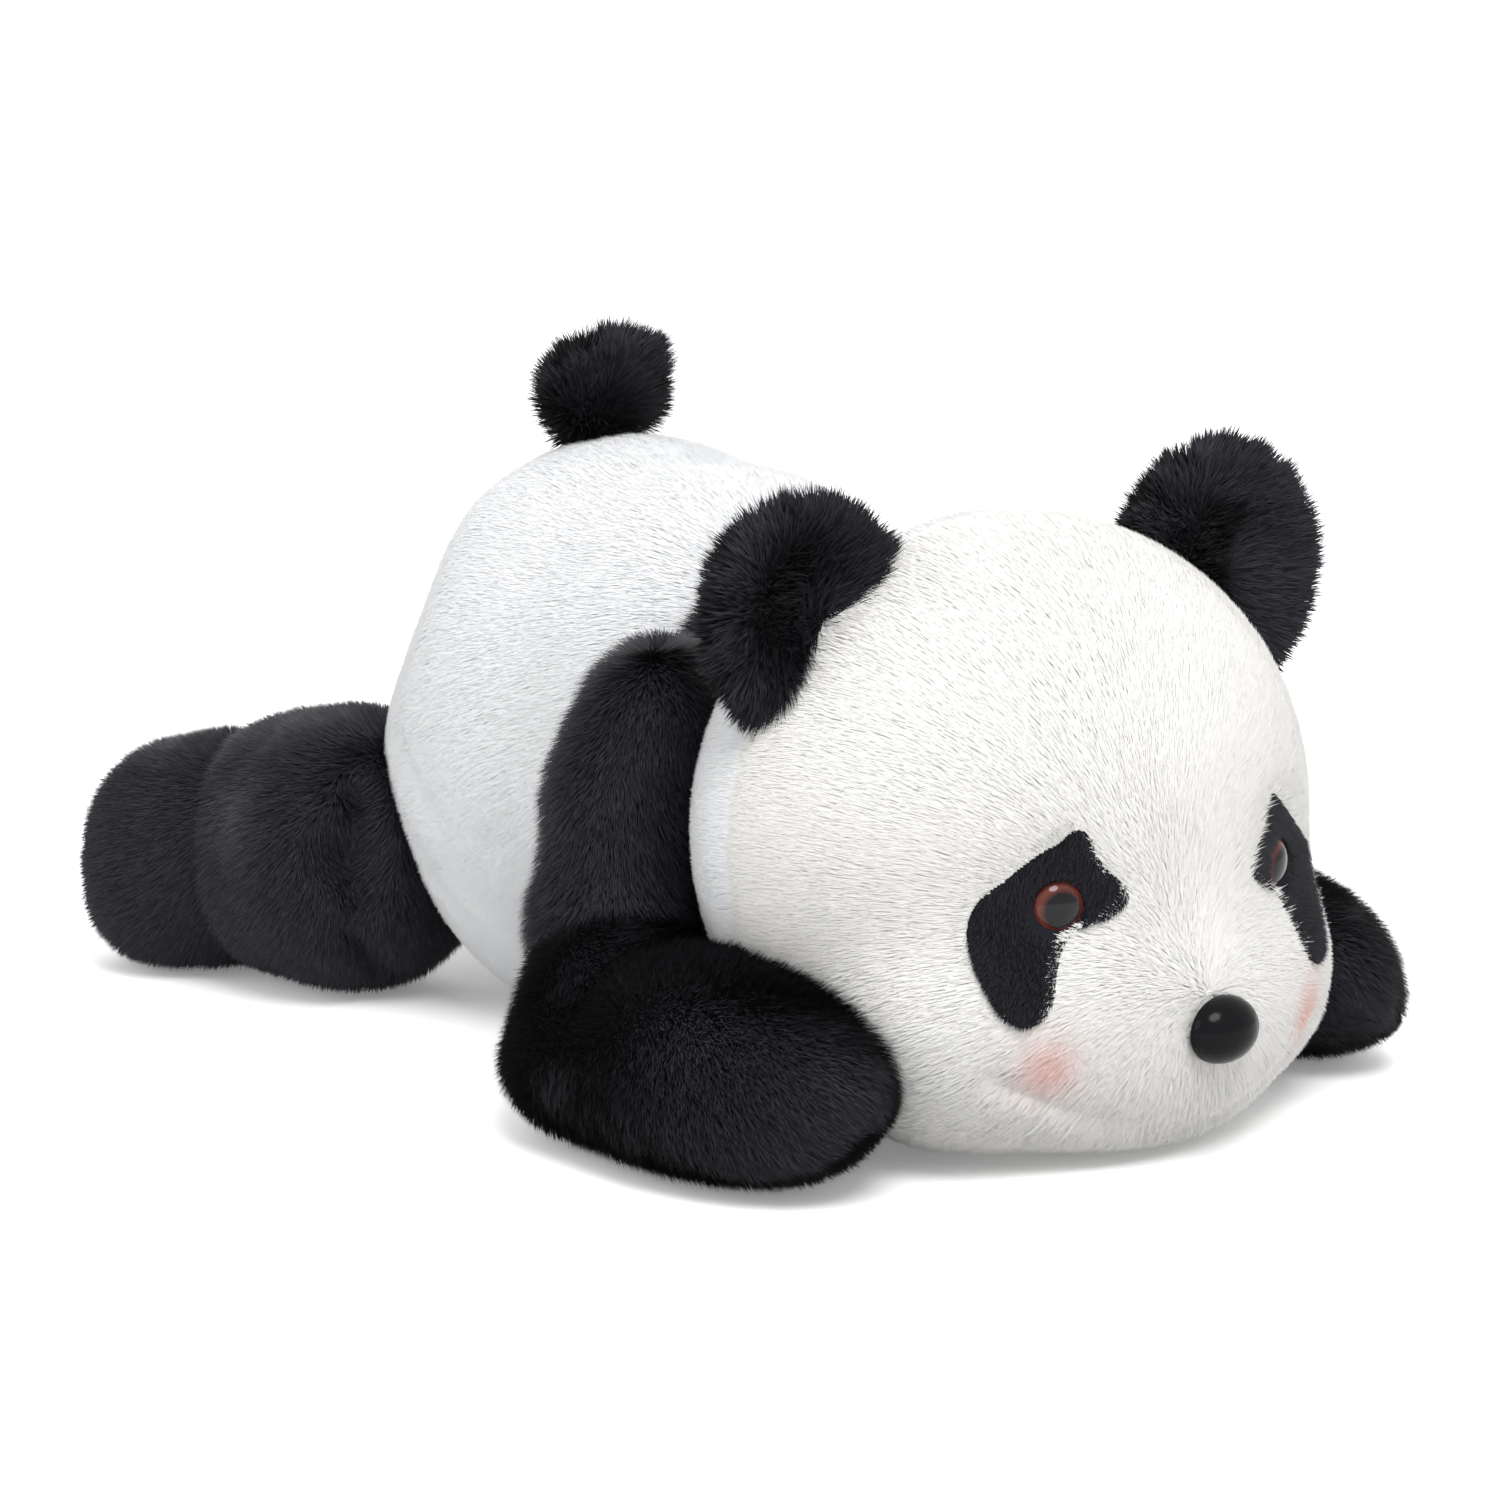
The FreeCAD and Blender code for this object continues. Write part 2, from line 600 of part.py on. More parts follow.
for side, sign in SIDES.items():
    upper = soft_levels(
        f"upper_arm_{side}",
        [ball("arm", arm_at(sign), ARM_R)],
        [below("elbow_cut_z + gap"), head_sweep])
    finish(cut(f"upper_arm_cover_{side}", upper["outer"], upper["lining"]), f"upper_arm_cover_{side}")
    upper["filling"].Label = f"upper_arm_stuffing_{side}"
    PARTS[f"upper_arm_stuffing_{side}"] = upper["filling"]

    elbow_at = (f"{sign} * elbow_at_x", "-elbow_at_y", "elbow_z - 2")
    paw_at = (f"{sign} * paw_at_x", "-paw_at_y", "paw_z - 2")
    fore = soft_levels(
        f"forearm_{side}",
        [ball("elbow", elbow_at, ("elbow_x", "elbow_y", "elbow_z")),
         ball("paw", paw_at, ("paw_x", "paw_y", "paw_z"))],
        [below("floor_gap"), above("elbow_cut_z", arm_at(sign)[:2], "elbow_socket_r"),
         round_hollow("shoulder_clear", NECK_AT, "neck_r", "arm_clear"), head_sweep])
    finish(cut(f"forearm_cover_{side}", fore["outer"], fore["lining"]), f"forearm_cover_{side}")
    fore["filling"].Label = f"forearm_stuffing_{side}"
    PARTS[f"forearm_stuffing_{side}"] = fore["filling"]

# ---- legs ----
for side, sign in SIDES.items():
    thigh = {}
    for level, grow in LEVELS.items():
        thigh[level] = sphere(f"thigh_{side}_{level}", hip_at(sign), "hip_r", grow)
    finish(cut(f"thigh_cover_{side}", thigh["outer"], thigh["lining"]), f"thigh_cover_{side}")
    thigh["filling"].Label = f"thigh_stuffing_{side}"
    PARTS[f"thigh_stuffing_{side}"] = thigh["filling"]

    foot_at = (f"{sign} * foot_at_x", "foot_at_y", "foot_z + floor_gap")
    foot = soft_levels(
        f"foot_{side}",
        [ball("foot", foot_at, ("foot_x", "foot_y", "foot_z"))],
        [round_hollow("hip", hip_at(sign), "hip_r")])
    finish(cut(f"foot_cover_{side}", foot["outer"], foot["lining"]), f"foot_cover_{side}")
    foot["filling"].Label = f"foot_stuffing_{side}"
    PARTS[f"foot_stuffing_{side}"] = foot["filling"]

doc.recompute()

# ---- check, then export ----
for obj in doc.Objects:
    if "Invalid" in obj.State or "Error" in obj.State:
        raise RuntimeError(f"{obj.Name} has not built: {obj.State}")
    shape = getattr(obj, "Shape", None)
    if shape is not None and obj.TypeId.startswith("Part") and (shape.isNull() or not shape.isValid()):
        raise RuntimeError(f"{obj.Name} has no sound shape")
for label, obj in PARTS.items():
    if len(obj.Shape.Solids) != 1:
        raise RuntimeError(f"{label} is {len(obj.Shape.Solids)} solids")

os.makedirs("parts", exist_ok=True)
for label, obj in PARTS.items():
    obj.Shape.exportStep(f"parts/{label}.step")
print(f"{len(PARTS)} parts written")
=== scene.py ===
# %% [markdown]
# # A plush panda, lying on its belly
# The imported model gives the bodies, their joints and a plain solid for every soft part. This
# lesson dresses it: each soft part becomes a stuffed skin, and each skin grows a pile of real
# blades. Everything is in metres, +Z is up, the panda looks along -Y and its right side is -X.

# %% Load the frame
import bpy
import bmesh
import math
import numpy as np
from mathutils import Matrix, Vector, noise
from mathutils.bvhtree import BVHTree


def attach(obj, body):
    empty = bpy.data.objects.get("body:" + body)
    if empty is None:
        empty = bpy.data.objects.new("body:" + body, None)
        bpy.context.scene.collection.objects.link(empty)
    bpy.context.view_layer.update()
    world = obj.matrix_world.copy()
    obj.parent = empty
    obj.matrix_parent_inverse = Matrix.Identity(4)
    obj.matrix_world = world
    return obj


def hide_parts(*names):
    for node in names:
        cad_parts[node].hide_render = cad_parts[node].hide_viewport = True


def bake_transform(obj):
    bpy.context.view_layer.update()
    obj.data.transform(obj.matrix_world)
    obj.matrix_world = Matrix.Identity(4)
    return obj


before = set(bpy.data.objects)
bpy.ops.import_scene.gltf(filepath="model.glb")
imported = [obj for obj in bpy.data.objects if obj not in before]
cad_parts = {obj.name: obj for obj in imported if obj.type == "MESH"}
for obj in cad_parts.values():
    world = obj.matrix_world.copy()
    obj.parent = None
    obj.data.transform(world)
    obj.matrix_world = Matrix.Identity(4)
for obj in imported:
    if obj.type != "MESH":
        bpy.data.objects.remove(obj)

# The noise would otherwise start from the clock, and comb the pile differently in every run.
NOISE_SEED = 7
noise.seed_set(NOISE_SEED)
scene = bpy.context.scene
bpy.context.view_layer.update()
SIDES = {"right": -1, "left": 1}

# %% [markdown]
# ## Stuffed skins
# A real plush is sewn from flat panels and rounded by its filling. The quick way to that form is
# to overlap a few balls, let a voxel remesh melt them into one closed skin, and smooth it. The
# balls take their places from the frame, a little inside it, because the pile stands outside.

# %% Balls melted into one skin
PILE_ROOM = 0.003


def ball(at, radii, turn=(0.0, 0.0, 0.0)):
    """One lump of filling: where it lies, its half sizes, and its turn in degrees."""
    spin = Matrix.Rotation(math.radians(turn[2]), 4, "Z") @ Matrix.Rotation(
        math.radians(turn[1]), 4, "Y") @ Matrix.Rotation(math.radians(turn[0]), 4, "X")
    return Matrix.Translation(at) @ spin @ Matrix.Diagonal((*[r - PILE_ROOM for r in radii], 1.0))


def new_piece(name, mesh):
    obj = bpy.data.objects.new(name, mesh)
    scene.collection.objects.link(obj)
    return obj


def apply_all(obj):
    """The object's mesh with its modifiers applied."""
    graph = bpy.context.evaluated_depsgraph_get()
    mesh = bpy.data.meshes.new_from_object(obj.evaluated_get(graph))
    obj.modifiers.clear()
    obj.data = mesh
    return obj


def stuffed(name, lumps, voxel=0.003, smooth=12):
    """A closed, smooth skin round a few overlapping lumps."""
    mesh = bpy.data.meshes.new(name)
    bm = bmesh.new()
    for place in lumps:
        bmesh.ops.create_icosphere(bm, subdivisions=4, radius=1.0, matrix=place)
    bm.to_mesh(mesh)
    bm.free()
    obj = new_piece(name, mesh)
    melt = obj.modifiers.new("melt", "REMESH")
    melt.mode = "VOXEL"
    melt.voxel_size = voxel
    melt.use_smooth_shade = True
    soften = obj.modifiers.new("soften", "CORRECTIVE_SMOOTH")
    soften.factor = 1.0
    soften.iterations = smooth
    soften.use_only_smooth = True
    apply_all(obj)
    print(name, len(obj.data.polygons), "faces")
    return obj


# %% [markdown]
# A voxel skin is even all over, so dents and folds can be pressed into it afterwards by moving its
# points: a hollow is a round dent, a crease is a groove along a short line, and what lies on the
# floor is flattened there.

# %% Hollows, creases and the floor
def points_of(obj):
    """The vertex places of a mesh as an array."""
    flat = np.empty(len(obj.data.vertices) * 3, np.float32)
    obj.data.vertices.foreach_get("co", flat)
    return flat.reshape(-1, 3).astype(float)


def normals_of(obj):
    flat = np.empty(len(obj.data.vertices) * 3, np.float32)
    obj.data.vertices.foreach_get("normal", flat)
    return flat.reshape(-1, 3).astype(float)


def move_points(obj, places):
    obj.data.vertices.foreach_set("co", places.astype(np.float32).ravel())
    obj.data.update()


def hollow(obj, at, reach, depth):
    """Press a soft dent into a skin: deepest at a point, gone at its reach. A negative depth swells."""
    places = points_of(obj)
    away = (places - np.array(at)) / np.array(reach)
    near = np.clip(1.0 - (away ** 2).sum(1), 0, 1)
    move_points(obj, places - normals_of(obj) * (depth * near ** 2)[:, None])


def line_distance(places, line):
    """How far each place is from a line through a few points."""
    best = np.full(len(places), 1e9)
    for a, b in zip(np.array(line[:-1]), np.array(line[1:])):
        run = b - a
        along = np.clip((places - a) @ run / (run @ run), 0, 1)
        best = np.minimum(best, np.linalg.norm(places - a - along[:, None] * run, axis=1))
    return best


def crease(obj, line, width, depth):
    """Press a groove along a line of points."""
    places = points_of(obj)
    groove = np.exp(-(line_distance(places, line) / width) ** 2) * depth
    move_points(obj, places - normals_of(obj) * groove[:, None])


def lay_down(obj, height=0.0015, ease=0.010):
    """Flatten a skin where it rests on the floor, with a rounded edge round the contact."""
    places = points_of(obj)
    low = np.clip(height + ease - places[:, 2], 0, None)
    places[:, 2] = np.where(low > 0, height + ease * np.exp(-low / ease), places[:, 2])
    move_points(obj, places)


def both_sides(point):
    """The same point on the right and on the left."""
    return [(sign * abs(point[0]), point[1], point[2]) for sign in SIDES.values()]


# %% [markdown]
# ## The head and the body
# The head is one wide ball with a low muzzle and full cheeks, and the eyes are pulled a little into
# it. The body is a tall rump that narrows to the hips, and a shoulder ball for the neck to sit on. Both
# swell a little at the end, because the pale pile lies flatter than the black and needs less room.

# %% Head skin
EYE_AT = (0.052, -0.2276, 0.0958)
PALE_SWELL = 0.0012
head = stuffed("head_skin", [
    ball((0, -0.148, 0.107), (0.123, 0.098, 0.112)),
    ball((0, -0.204, 0.048), (0.084, 0.054, 0.056)),
    ball((0, -0.203, 0.085), (0.084, 0.045, 0.054)),
    ball((0.050, -0.186, 0.052), (0.062, 0.056, 0.054)),
    ball((-0.050, -0.186, 0.052), (0.062, 0.056, 0.054))], smooth=40)
for at in both_sides(EYE_AT):
    hollow(head, at, (0.034, 0.034, 0.034), 0.0042)
MOUTH = ((0.080, -0.232, 0.040), (0.061, -0.237, 0.030), (0.036, -0.244, 0.0195), (0.014, -0.246, 0.0135),
         (0, -0.246, 0.0125))
crease(head, [(-x, y, z) for x, y, z in MOUTH[:-1]] + list(MOUTH[::-1]), 0.0045, 0.0036)
crease(head, [(0, -0.262, 0.036), (0, -0.254, 0.014)], 0.003, 0.0012)
move_points(head, points_of(head) + normals_of(head) * PALE_SWELL)
lay_down(head)

# %% Body skin
body = stuffed("body_skin", [
    ball((0, 0.058, 0.108), (0.098, 0.104, 0.118)),
    ball((0, 0.008, 0.133), (0.088, 0.080, 0.087)),
    ball((0, -0.026, 0.097), (0.092, 0.092, 0.092))], smooth=40)
for at in both_sides((0.074, 0.128, 0.158)):
    hollow(body, at, (0.070, 0.070, 0.060), 0.007)
for sign in SIDES.values():
    crease(body, [(sign * 0.086, 0.070, 0.060), (sign * 0.080, 0.046, 0.040)], 0.006, 0.0034)
    crease(body, [(sign * 0.094, 0.030, 0.080), (sign * 0.086, 0.012, 0.052)], 0.007, 0.0032)
    crease(body, [(sign * 0.092, 0.090, 0.110), (sign * 0.094, 0.066, 0.088)], 0.008, 0.0026)
move_points(body, points_of(body) + normals_of(body) * PALE_SWELL)
lay_down(body)

# %% [markdown]
# ## Limbs, ears and tail
# Each limb is its own stuffed bag. The paws are heavy and spread on the floor, the elbow and the
# knee are marked by a fold, and the ears are thick lobes with a shallow dish in front.

# %% Arm skins
limbs = {}
for side, sign in SIDES.items():
    arm = limbs[f"upper_arm_{side}"] = stuffed(f"upper_arm_skin_{side}", [
        ball((sign * 0.089, -0.066, 0.140), (0.036, 0.031, 0.034)),
        ball((sign * 0.102, -0.062, 0.108), (0.035, 0.030, 0.048)),
        ball((sign * 0.110, -0.062, 0.070), (0.035, 0.033, 0.036))], smooth=24)
    paw = limbs[f"forearm_{side}"] = stuffed(f"forearm_skin_{side}", [
        ball((sign * 0.119, -0.078, 0.042), (0.039, 0.037, 0.043)),
        ball((sign * 0.125, -0.139, 0.038), (0.043, 0.083, 0.038)),
        ball((sign * 0.135, -0.138, 0.025), (0.041, 0.079, 0.027)),
        ball((sign * 0.130, -0.094, 0.027), (0.045, 0.050, 0.029))], smooth=28)
    crease(arm, [(sign * 0.133, -0.061, 0.078), (sign * 0.124, -0.072, 0.080), (sign * 0.105, -0.078, 0.078)],
           0.007, 0.003)
    hollow(paw, (sign * 0.150, -0.096, 0.050), (0.03, 0.03, 0.02), 0.0025)
    for skin in (arm, paw):
        lay_down(skin)

# %% Leg skins
for side, sign in SIDES.items():
    thigh = limbs[f"thigh_{side}"] = stuffed(f"thigh_skin_{side}", [
        ball((sign * 0.071, 0.148, 0.057), (0.055, 0.055, 0.057)),
        ball((sign * 0.078, 0.174, 0.055), (0.048, 0.044, 0.054))], smooth=16)
    foot = limbs[f"foot_{side}"] = stuffed(f"foot_skin_{side}", [
        ball((sign * 0.092, 0.208, 0.050), (0.041, 0.040, 0.049)),
        ball((sign * 0.098, 0.230, 0.047), (0.041, 0.038, 0.046)),
        ball((sign * 0.100, 0.226, 0.030), (0.040, 0.042, 0.031))], smooth=16)
    hollow(thigh, (sign * 0.104, 0.107, 0.066), (0.022, 0.022, 0.022), 0.014)
    crease(thigh, [(sign * 0.094, 0.113, 0.089), (sign * 0.100, 0.105, 0.071), (sign * 0.101, 0.104, 0.047)],
           0.006, 0.0085)
    crease(thigh, [(sign * 0.103, 0.109, 0.035), (sign * 0.082, 0.115, 0.013)], 0.006, 0.0075)
    hollow(thigh, (sign * 0.116, 0.140, 0.070), (0.022, 0.022, 0.026), -0.0025)
    for skin in (thigh, foot):
        lay_down(skin)

# %% Ear and tail skins
EAR_LEAN = 46.0
EAR_ROOT = {"right": (-0.081, -0.139, 0.182), "left": (0.097, -0.152, 0.182)}
ears = {}
for side, sign in SIDES.items():
    lean = math.radians(EAR_LEAN - (0 if side == "right" else 4))
    axis = Vector((sign * math.cos(lean), 0, math.sin(lean)))
    root = Vector(EAR_ROOT[side])
    at = root + axis * 0.006
    tip = root + axis * 0.030
    wide = 0.041 if side == "right" else 0.047
    lean_deg = sign * (90 - math.degrees(lean))
    ear = ears[side] = stuffed(f"ear_skin_{side}", [
        ball(at, (wide, 0.017, wide + 0.001), (0, lean_deg, 0)),
        ball(tip, (wide * 0.62, 0.016, 0.018), (0, lean_deg, 0))], voxel=0.0025, smooth=14)
    dish = at + axis * 0.010 + Vector((0, -0.016, 0))
    hollow(ear, dish, (0.032, 0.03, 0.032), 0.009)
tail = stuffed("tail_skin", [
    ball((0.003, 0.083, 0.238), (0.027, 0.019, 0.020)),
    ball((0.010, 0.081, 0.247), (0.021, 0.016, 0.014)),
    ball((0.001, 0.086, 0.226), (0.016, 0.015, 0.013))], voxel=0.0025, smooth=10)


# %% [markdown]
# ## Panels
# The head is sewn from a face panel and a back panel, and the body from a white panel and a black
# band round the shoulders. Each is cut from its skin with a plane, then closed across the seam.

# %% Cut a skin at its seam
def panel(skin, name, seam_y, front):
    """The part of a skin in front of a seam plane or behind it, still open along the seam."""
    mesh = bpy.data.meshes.new(name)
    bm = bmesh.new()
    bm.from_mesh(skin.data)
    level = seam_y + (-0.0002 if front else 0.0002)
    bmesh.ops.bisect_plane(bm, geom=bm.verts[:] + bm.edges[:] + bm.faces[:], plane_co=(0, level, 0),
                           plane_no=(0, 1, 0), clear_outer=front, clear_inner=not front)
    bm.to_mesh(mesh)
    bm.free()
    for face in mesh.polygons:
        face.use_smooth = True
    return new_piece(name, mesh)


def close_up(obj):
    """Close a panel across its seam."""
    bm = bmesh.new()
    bm.from_mesh(obj.data)
    rim = [e for e in bm.edges if e.is_boundary]
    bmesh.ops.edgeloop_fill(bm, edges=rim)
    bmesh.ops.recalc_face_normals(bm, faces=bm.faces)
    bm.to_mesh(obj.data)
    bm.free()


HEAD_SEAM_Y, BAND_SEAM_Y = -0.138, -0.042
for skin, seam in ((head, HEAD_SEAM_Y), (body, BAND_SEAM_Y)):
    places = points_of(skin)
    pull = 0.0013 * np.exp(-((places[:, 1] - seam) / 0.005) ** 2)
    move_points(skin, places - normals_of(skin) * pull[:, None])
face_panel = panel(head, "head_face_panel", HEAD_SEAM_Y, True)
back_panel = panel(head, "head_back_panel", HEAD_SEAM_Y, False)
band_panel = panel(body, "shoulder_band", BAND_SEAM_Y, True)
white_panel = panel(body, "body_white_panel", BAND_SEAM_Y, False)
print("panels", [len(p.data.polygons) for p in (face_panel, back_panel, band_panel, white_panel)])

# %% [markdown]
# The eye patches are sewn over the face: a slanted patch of short black pile with a peak above the eye
# and a point towards the nose. Its outline is a few rounds melted together, measured in millimetres
# across and up from the eye.

# %% Patch outline
PATCH_ROUNDS = ((3.0, 7.5, 13.5), (7.5, 22.0, 4.0), (-6.0, 2.5, 12.0), (-15.5, -8.0, 15.5),
                (-16.5, -18.0, 12.0), (-15.5, -27.0, 9.5), (15.0, 4.5, 6.5), (22.5, 4.8, 2.0))
MELT_MM = 2.5


def patch_depth(places, sign):
    """How far inside the patch outline each place lies, in millimetres; negative is outside."""
    inward, up = Vector((-sign * 0.935, -0.352, 0)), Vector((sign * -0.03, -0.09, 0.995))
    rel = (places - np.array((sign * EYE_AT[0], EYE_AT[1], EYE_AT[2]))) * 1000
    across, high = rel @ np.array(inward), rel @ np.array(up)
    gaps = np.array([np.hypot(across - x, high - z) - r for x, z, r in PATCH_ROUNDS])
    depth = np.log(np.exp(-gaps / MELT_MM).sum(0)) * MELT_MM
    return np.where((places[:, 1] < -0.17) & (np.abs(rel[:, 1]) < 45), depth, -50.0)


def patch_piece(side, sign):
    """The sewn patch: a sheet lifted off the face panel inside the outline."""
    mesh = face_panel.data.copy()
    obj = new_piece(f"eye_patch_{side}_sheet", mesh)
    depth = patch_depth(points_of(obj), sign)
    bm = bmesh.new()
    bm.from_mesh(mesh)
    bm.verts.ensure_lookup_table()
    outside = [v for v in bm.verts if depth[v.index] < -4.0]
    bmesh.ops.delete(bm, geom=outside, context="VERTS")
    for cut in range(2):
        bmesh.ops.subdivide_edges(bm, edges=bm.edges, cuts=1, use_grid_fill=True, smooth=0.5)
    bm.verts.ensure_lookup_table()
    depth = patch_depth(np.array([v.co for v in bm.verts]), sign)
    bmesh.ops.delete(bm, geom=[v for v, d in zip(bm.verts, depth) if d < -1.0], context="VERTS")
    bm.normal_update()
    for v in bm.verts:
        v.co += v.normal * 0.0008
    bm.to_mesh(mesh)
    bm.free()
    return obj


patches = {side: patch_piece(side, sign) for side, sign in SIDES.items()}
print("patch faces", [len(p.data.polygons) for p in patches.values()])

# %% [markdown]
# ## Pile
# Plush is a woven backing with thousands of fibres standing on it. A painted bump would look like
# felt at the edges, so each skin carries real blades, scattered by Geometry Nodes: every point gets
# a tapered blade, leaned along the combed direction stored on the skin. The blades keep the skin's
# own normal as an attribute, so that light falls over the pile as it falls over the stuffed form.

# %% One blade
def blade_mesh(name, curl=0.0, steps=1):
    """A tapered blade one unit wide and one unit tall, standing on its base."""
    mesh = bpy.data.meshes.new(name)
    bm = bmesh.new()
    bmesh.ops.create_grid(bm, x_segments=1, y_segments=steps, size=0.5)
    bmesh.ops.rotate(bm, verts=bm.verts, cent=(0, 0, 0), matrix=Matrix.Rotation(math.radians(90), 3, "X"))
    bmesh.ops.translate(bm, verts=bm.verts, vec=(0, 0, 0.5))
    tip = [v for v in bm.verts if v.co.z > 0.99]
    bmesh.ops.pointmerge(bm, verts=tip, merge_co=(0, 0, 1))
    along = bm.verts.layers.float.new("along")
    for v in bm.verts:
        v[along] = v.co.z
        v.co.x *= 1.0 - 0.35 * v.co.z
        v.co.y -= curl * v.co.z ** 2
    bm.normal_update()
    bm.to_mesh(mesh)
    bm.free()
    return bpy.data.objects.new(name, mesh)


short_blade = blade_mesh("short_blade")
long_blade = blade_mesh("long_blade", curl=-0.25, steps=2)
print("blade faces", len(short_blade.data.polygons), len(long_blade.data.polygons))


# %% The scatter that plants them
def pile_group():
    """Geometry nodes that plant blades on a skin."""
    group = bpy.data.node_groups.new("plant_pile", "GeometryNodeTree")
    for name, kind in (("Skin", "NodeSocketGeometry"), ("Blade", "NodeSocketObject"),
                       ("Per square metre", "NodeSocketFloat"), ("Length", "NodeSocketFloat"),
                       ("Width", "NodeSocketFloat"), ("Stand", "NodeSocketFloat"),
                       ("Unruly", "NodeSocketFloat"), ("Seed", "NodeSocketInt")):
        group.interface.new_socket(name, in_out="INPUT", socket_type=kind)
    group.interface.new_socket("Pile", in_out="OUTPUT", socket_type="NodeSocketGeometry")
    nodes, links = group.nodes, group.links

    def node(kind, **facts):
        made = nodes.new(kind)
        for key, value in facts.items():
            setattr(made, key, value)
        return made

    given = node("NodeGroupInput")
    result = node("NodeGroupOutput")
    grow = node("GeometryNodeInputNamedAttribute", data_type="FLOAT")
    grow.inputs["Name"].default_value = "grow"
    comb = node("GeometryNodeInputNamedAttribute", data_type="FLOAT_VECTOR")
    comb.inputs["Name"].default_value = "comb"
    thick = node("ShaderNodeMath", operation="GREATER_THAN")
    links.new(grow.outputs["Attribute"], thick.inputs[0])
    thick.inputs[1].default_value = 0.35
    density = node("ShaderNodeMath", operation="MULTIPLY")
    links.new(given.outputs["Per square metre"], density.inputs[0])
    links.new(thick.outputs[0], density.inputs[1])
    scatter = node("GeometryNodeDistributePointsOnFaces", distribute_method="RANDOM")
    links.new(given.outputs["Skin"], scatter.inputs["Mesh"])
    links.new(density.outputs[0], scatter.inputs["Density"])
    links.new(given.outputs["Seed"], scatter.inputs["Seed"])
    keep = node("GeometryNodeStoreNamedAttribute", data_type="FLOAT_VECTOR", domain="POINT")
    keep.inputs["Name"].default_value = "skin_normal"
    links.new(scatter.outputs["Points"], keep.inputs["Geometry"])
    links.new(scatter.outputs["Normal"], keep.inputs["Value"])
    tone = node("FunctionNodeRandomValue", data_type="FLOAT")
    links.new(given.outputs["Seed"], tone.inputs["Seed"])
    toned = node("GeometryNodeStoreNamedAttribute", data_type="FLOAT", domain="POINT")
    toned.inputs["Name"].default_value = "tone"
    links.new(keep.outputs[0], toned.inputs["Geometry"])
    links.new(tone.outputs["Value"], toned.inputs["Value"])

    stray = node("FunctionNodeRandomValue", data_type="FLOAT_VECTOR")
    stray.inputs["Min"].default_value = (-1, -1, -1)
    stray.inputs["Max"].default_value = (1, 1, 1)
    links.new(given.outputs["Seed"], stray.inputs["Seed"])
    up = node("ShaderNodeVectorMath", operation="SCALE")
    links.new(scatter.outputs["Normal"], up.inputs[0])
    links.new(given.outputs["Stand"], up.inputs["Scale"])
    loose = node("ShaderNodeVectorMath", operation="SCALE")
    links.new(stray.outputs["Value"], loose.inputs[0])
    links.new(given.outputs["Unruly"], loose.inputs["Scale"])
    lean = node("ShaderNodeVectorMath", operation="ADD")
    links.new(up.outputs[0], lean.inputs[0])
    links.new(comb.outputs["Attribute"], lean.inputs[1])
    way = node("ShaderNodeVectorMath", operation="ADD")
    links.new(lean.outputs[0], way.inputs[0])
    links.new(loose.outputs[0], way.inputs[1])
    rise = node("FunctionNodeAlignRotationToVector", axis="Z")
    links.new(way.outputs[0], rise.inputs["Vector"])
    face = node("FunctionNodeAlignRotationToVector", axis="Y", pivot_axis="Z")
    links.new(rise.outputs[0], face.inputs["Rotation"])
    links.new(scatter.outputs["Normal"], face.inputs["Vector"])

    uneven = node("FunctionNodeRandomValue", data_type="FLOAT")
    uneven.inputs[2].default_value = 0.65
    uneven.inputs[3].default_value = 1.1
    tall = node("ShaderNodeMath", operation="MULTIPLY")
    links.new(uneven.outputs["Value"], tall.inputs[0])
    links.new(grow.outputs["Attribute"], tall.inputs[1])
    long = node("ShaderNodeMath", operation="MULTIPLY")
    links.new(tall.outputs[0], long.inputs[0])
    links.new(given.outputs["Length"], long.inputs[1])
    size = node("ShaderNodeCombineXYZ")
    links.new(given.outputs["Width"], size.inputs["X"])
    links.new(long.outputs[0], size.inputs["Y"])
    links.new(long.outputs[0], size.inputs["Z"])
    sprig = node("GeometryNodeObjectInfo", transform_space="ORIGINAL")
    links.new(given.outputs["Blade"], sprig.inputs["Object"])
    plant = node("GeometryNodeInstanceOnPoints")
    links.new(toned.outputs[0], plant.inputs["Points"])
    links.new(sprig.outputs["Geometry"], plant.inputs["Instance"])
    links.new(face.outputs[0], plant.inputs["Rotation"])
    links.new(size.outputs[0], plant.inputs["Scale"])
    real = node("GeometryNodeRealizeInstances")
    links.new(plant.outputs[0], real.inputs["Geometry"])
    links.new(real.outputs[0], result.inputs["Pile"])
    return group


PLANT = pile_group()
print("scatter nodes", len(PLANT.nodes))


# %% [markdown]
# The comb is a direction on every point of a skin. A flow over the whole part, such as "back and
# down", is laid flat onto the surface, and a slow noise bends it into the soft swirls of real plush.

# %% Comb a skin
def wander(places, scale):
    """A slow random direction at each place."""
    return np.array([noise.noise_vector(Vector(p) * scale) for p in places])


def comb(obj, flow, lean=1.0, swirl=0.35, tuft=0.22):
    """Store the combed direction of each point. flow gives it for an array of places."""
    places, normals = points_of(obj), normals_of(obj)
    way = np.array(flow(places, normals), float)
    way = way / np.maximum(np.linalg.norm(way, axis=1), 1e-9)[:, None]
    way += wander(places, 20.0) * swirl + wander(places, 130.0) * tuft
    way -= normals * (way * normals).sum(1)[:, None]
    way /= np.maximum(np.linalg.norm(way, axis=1), 1e-9)[:, None]
    store = obj.data.attributes.new("comb", "FLOAT_VECTOR", "POINT")
    store.data.foreach_set("vector", (way * lean).astype(np.float32).ravel())


def store_value(obj, name, values):
    store = obj.data.attributes.get(name) or obj.data.attributes.new(name, "FLOAT", "POINT")
    store.data.foreach_set("value", np.asarray(values, np.float32))


def tree_of(obj):
    """A search tree over the faces of a skin."""
    return BVHTree.FromPolygons([v.co for v in obj.data.vertices], [p.vertices for p in obj.data.polygons])


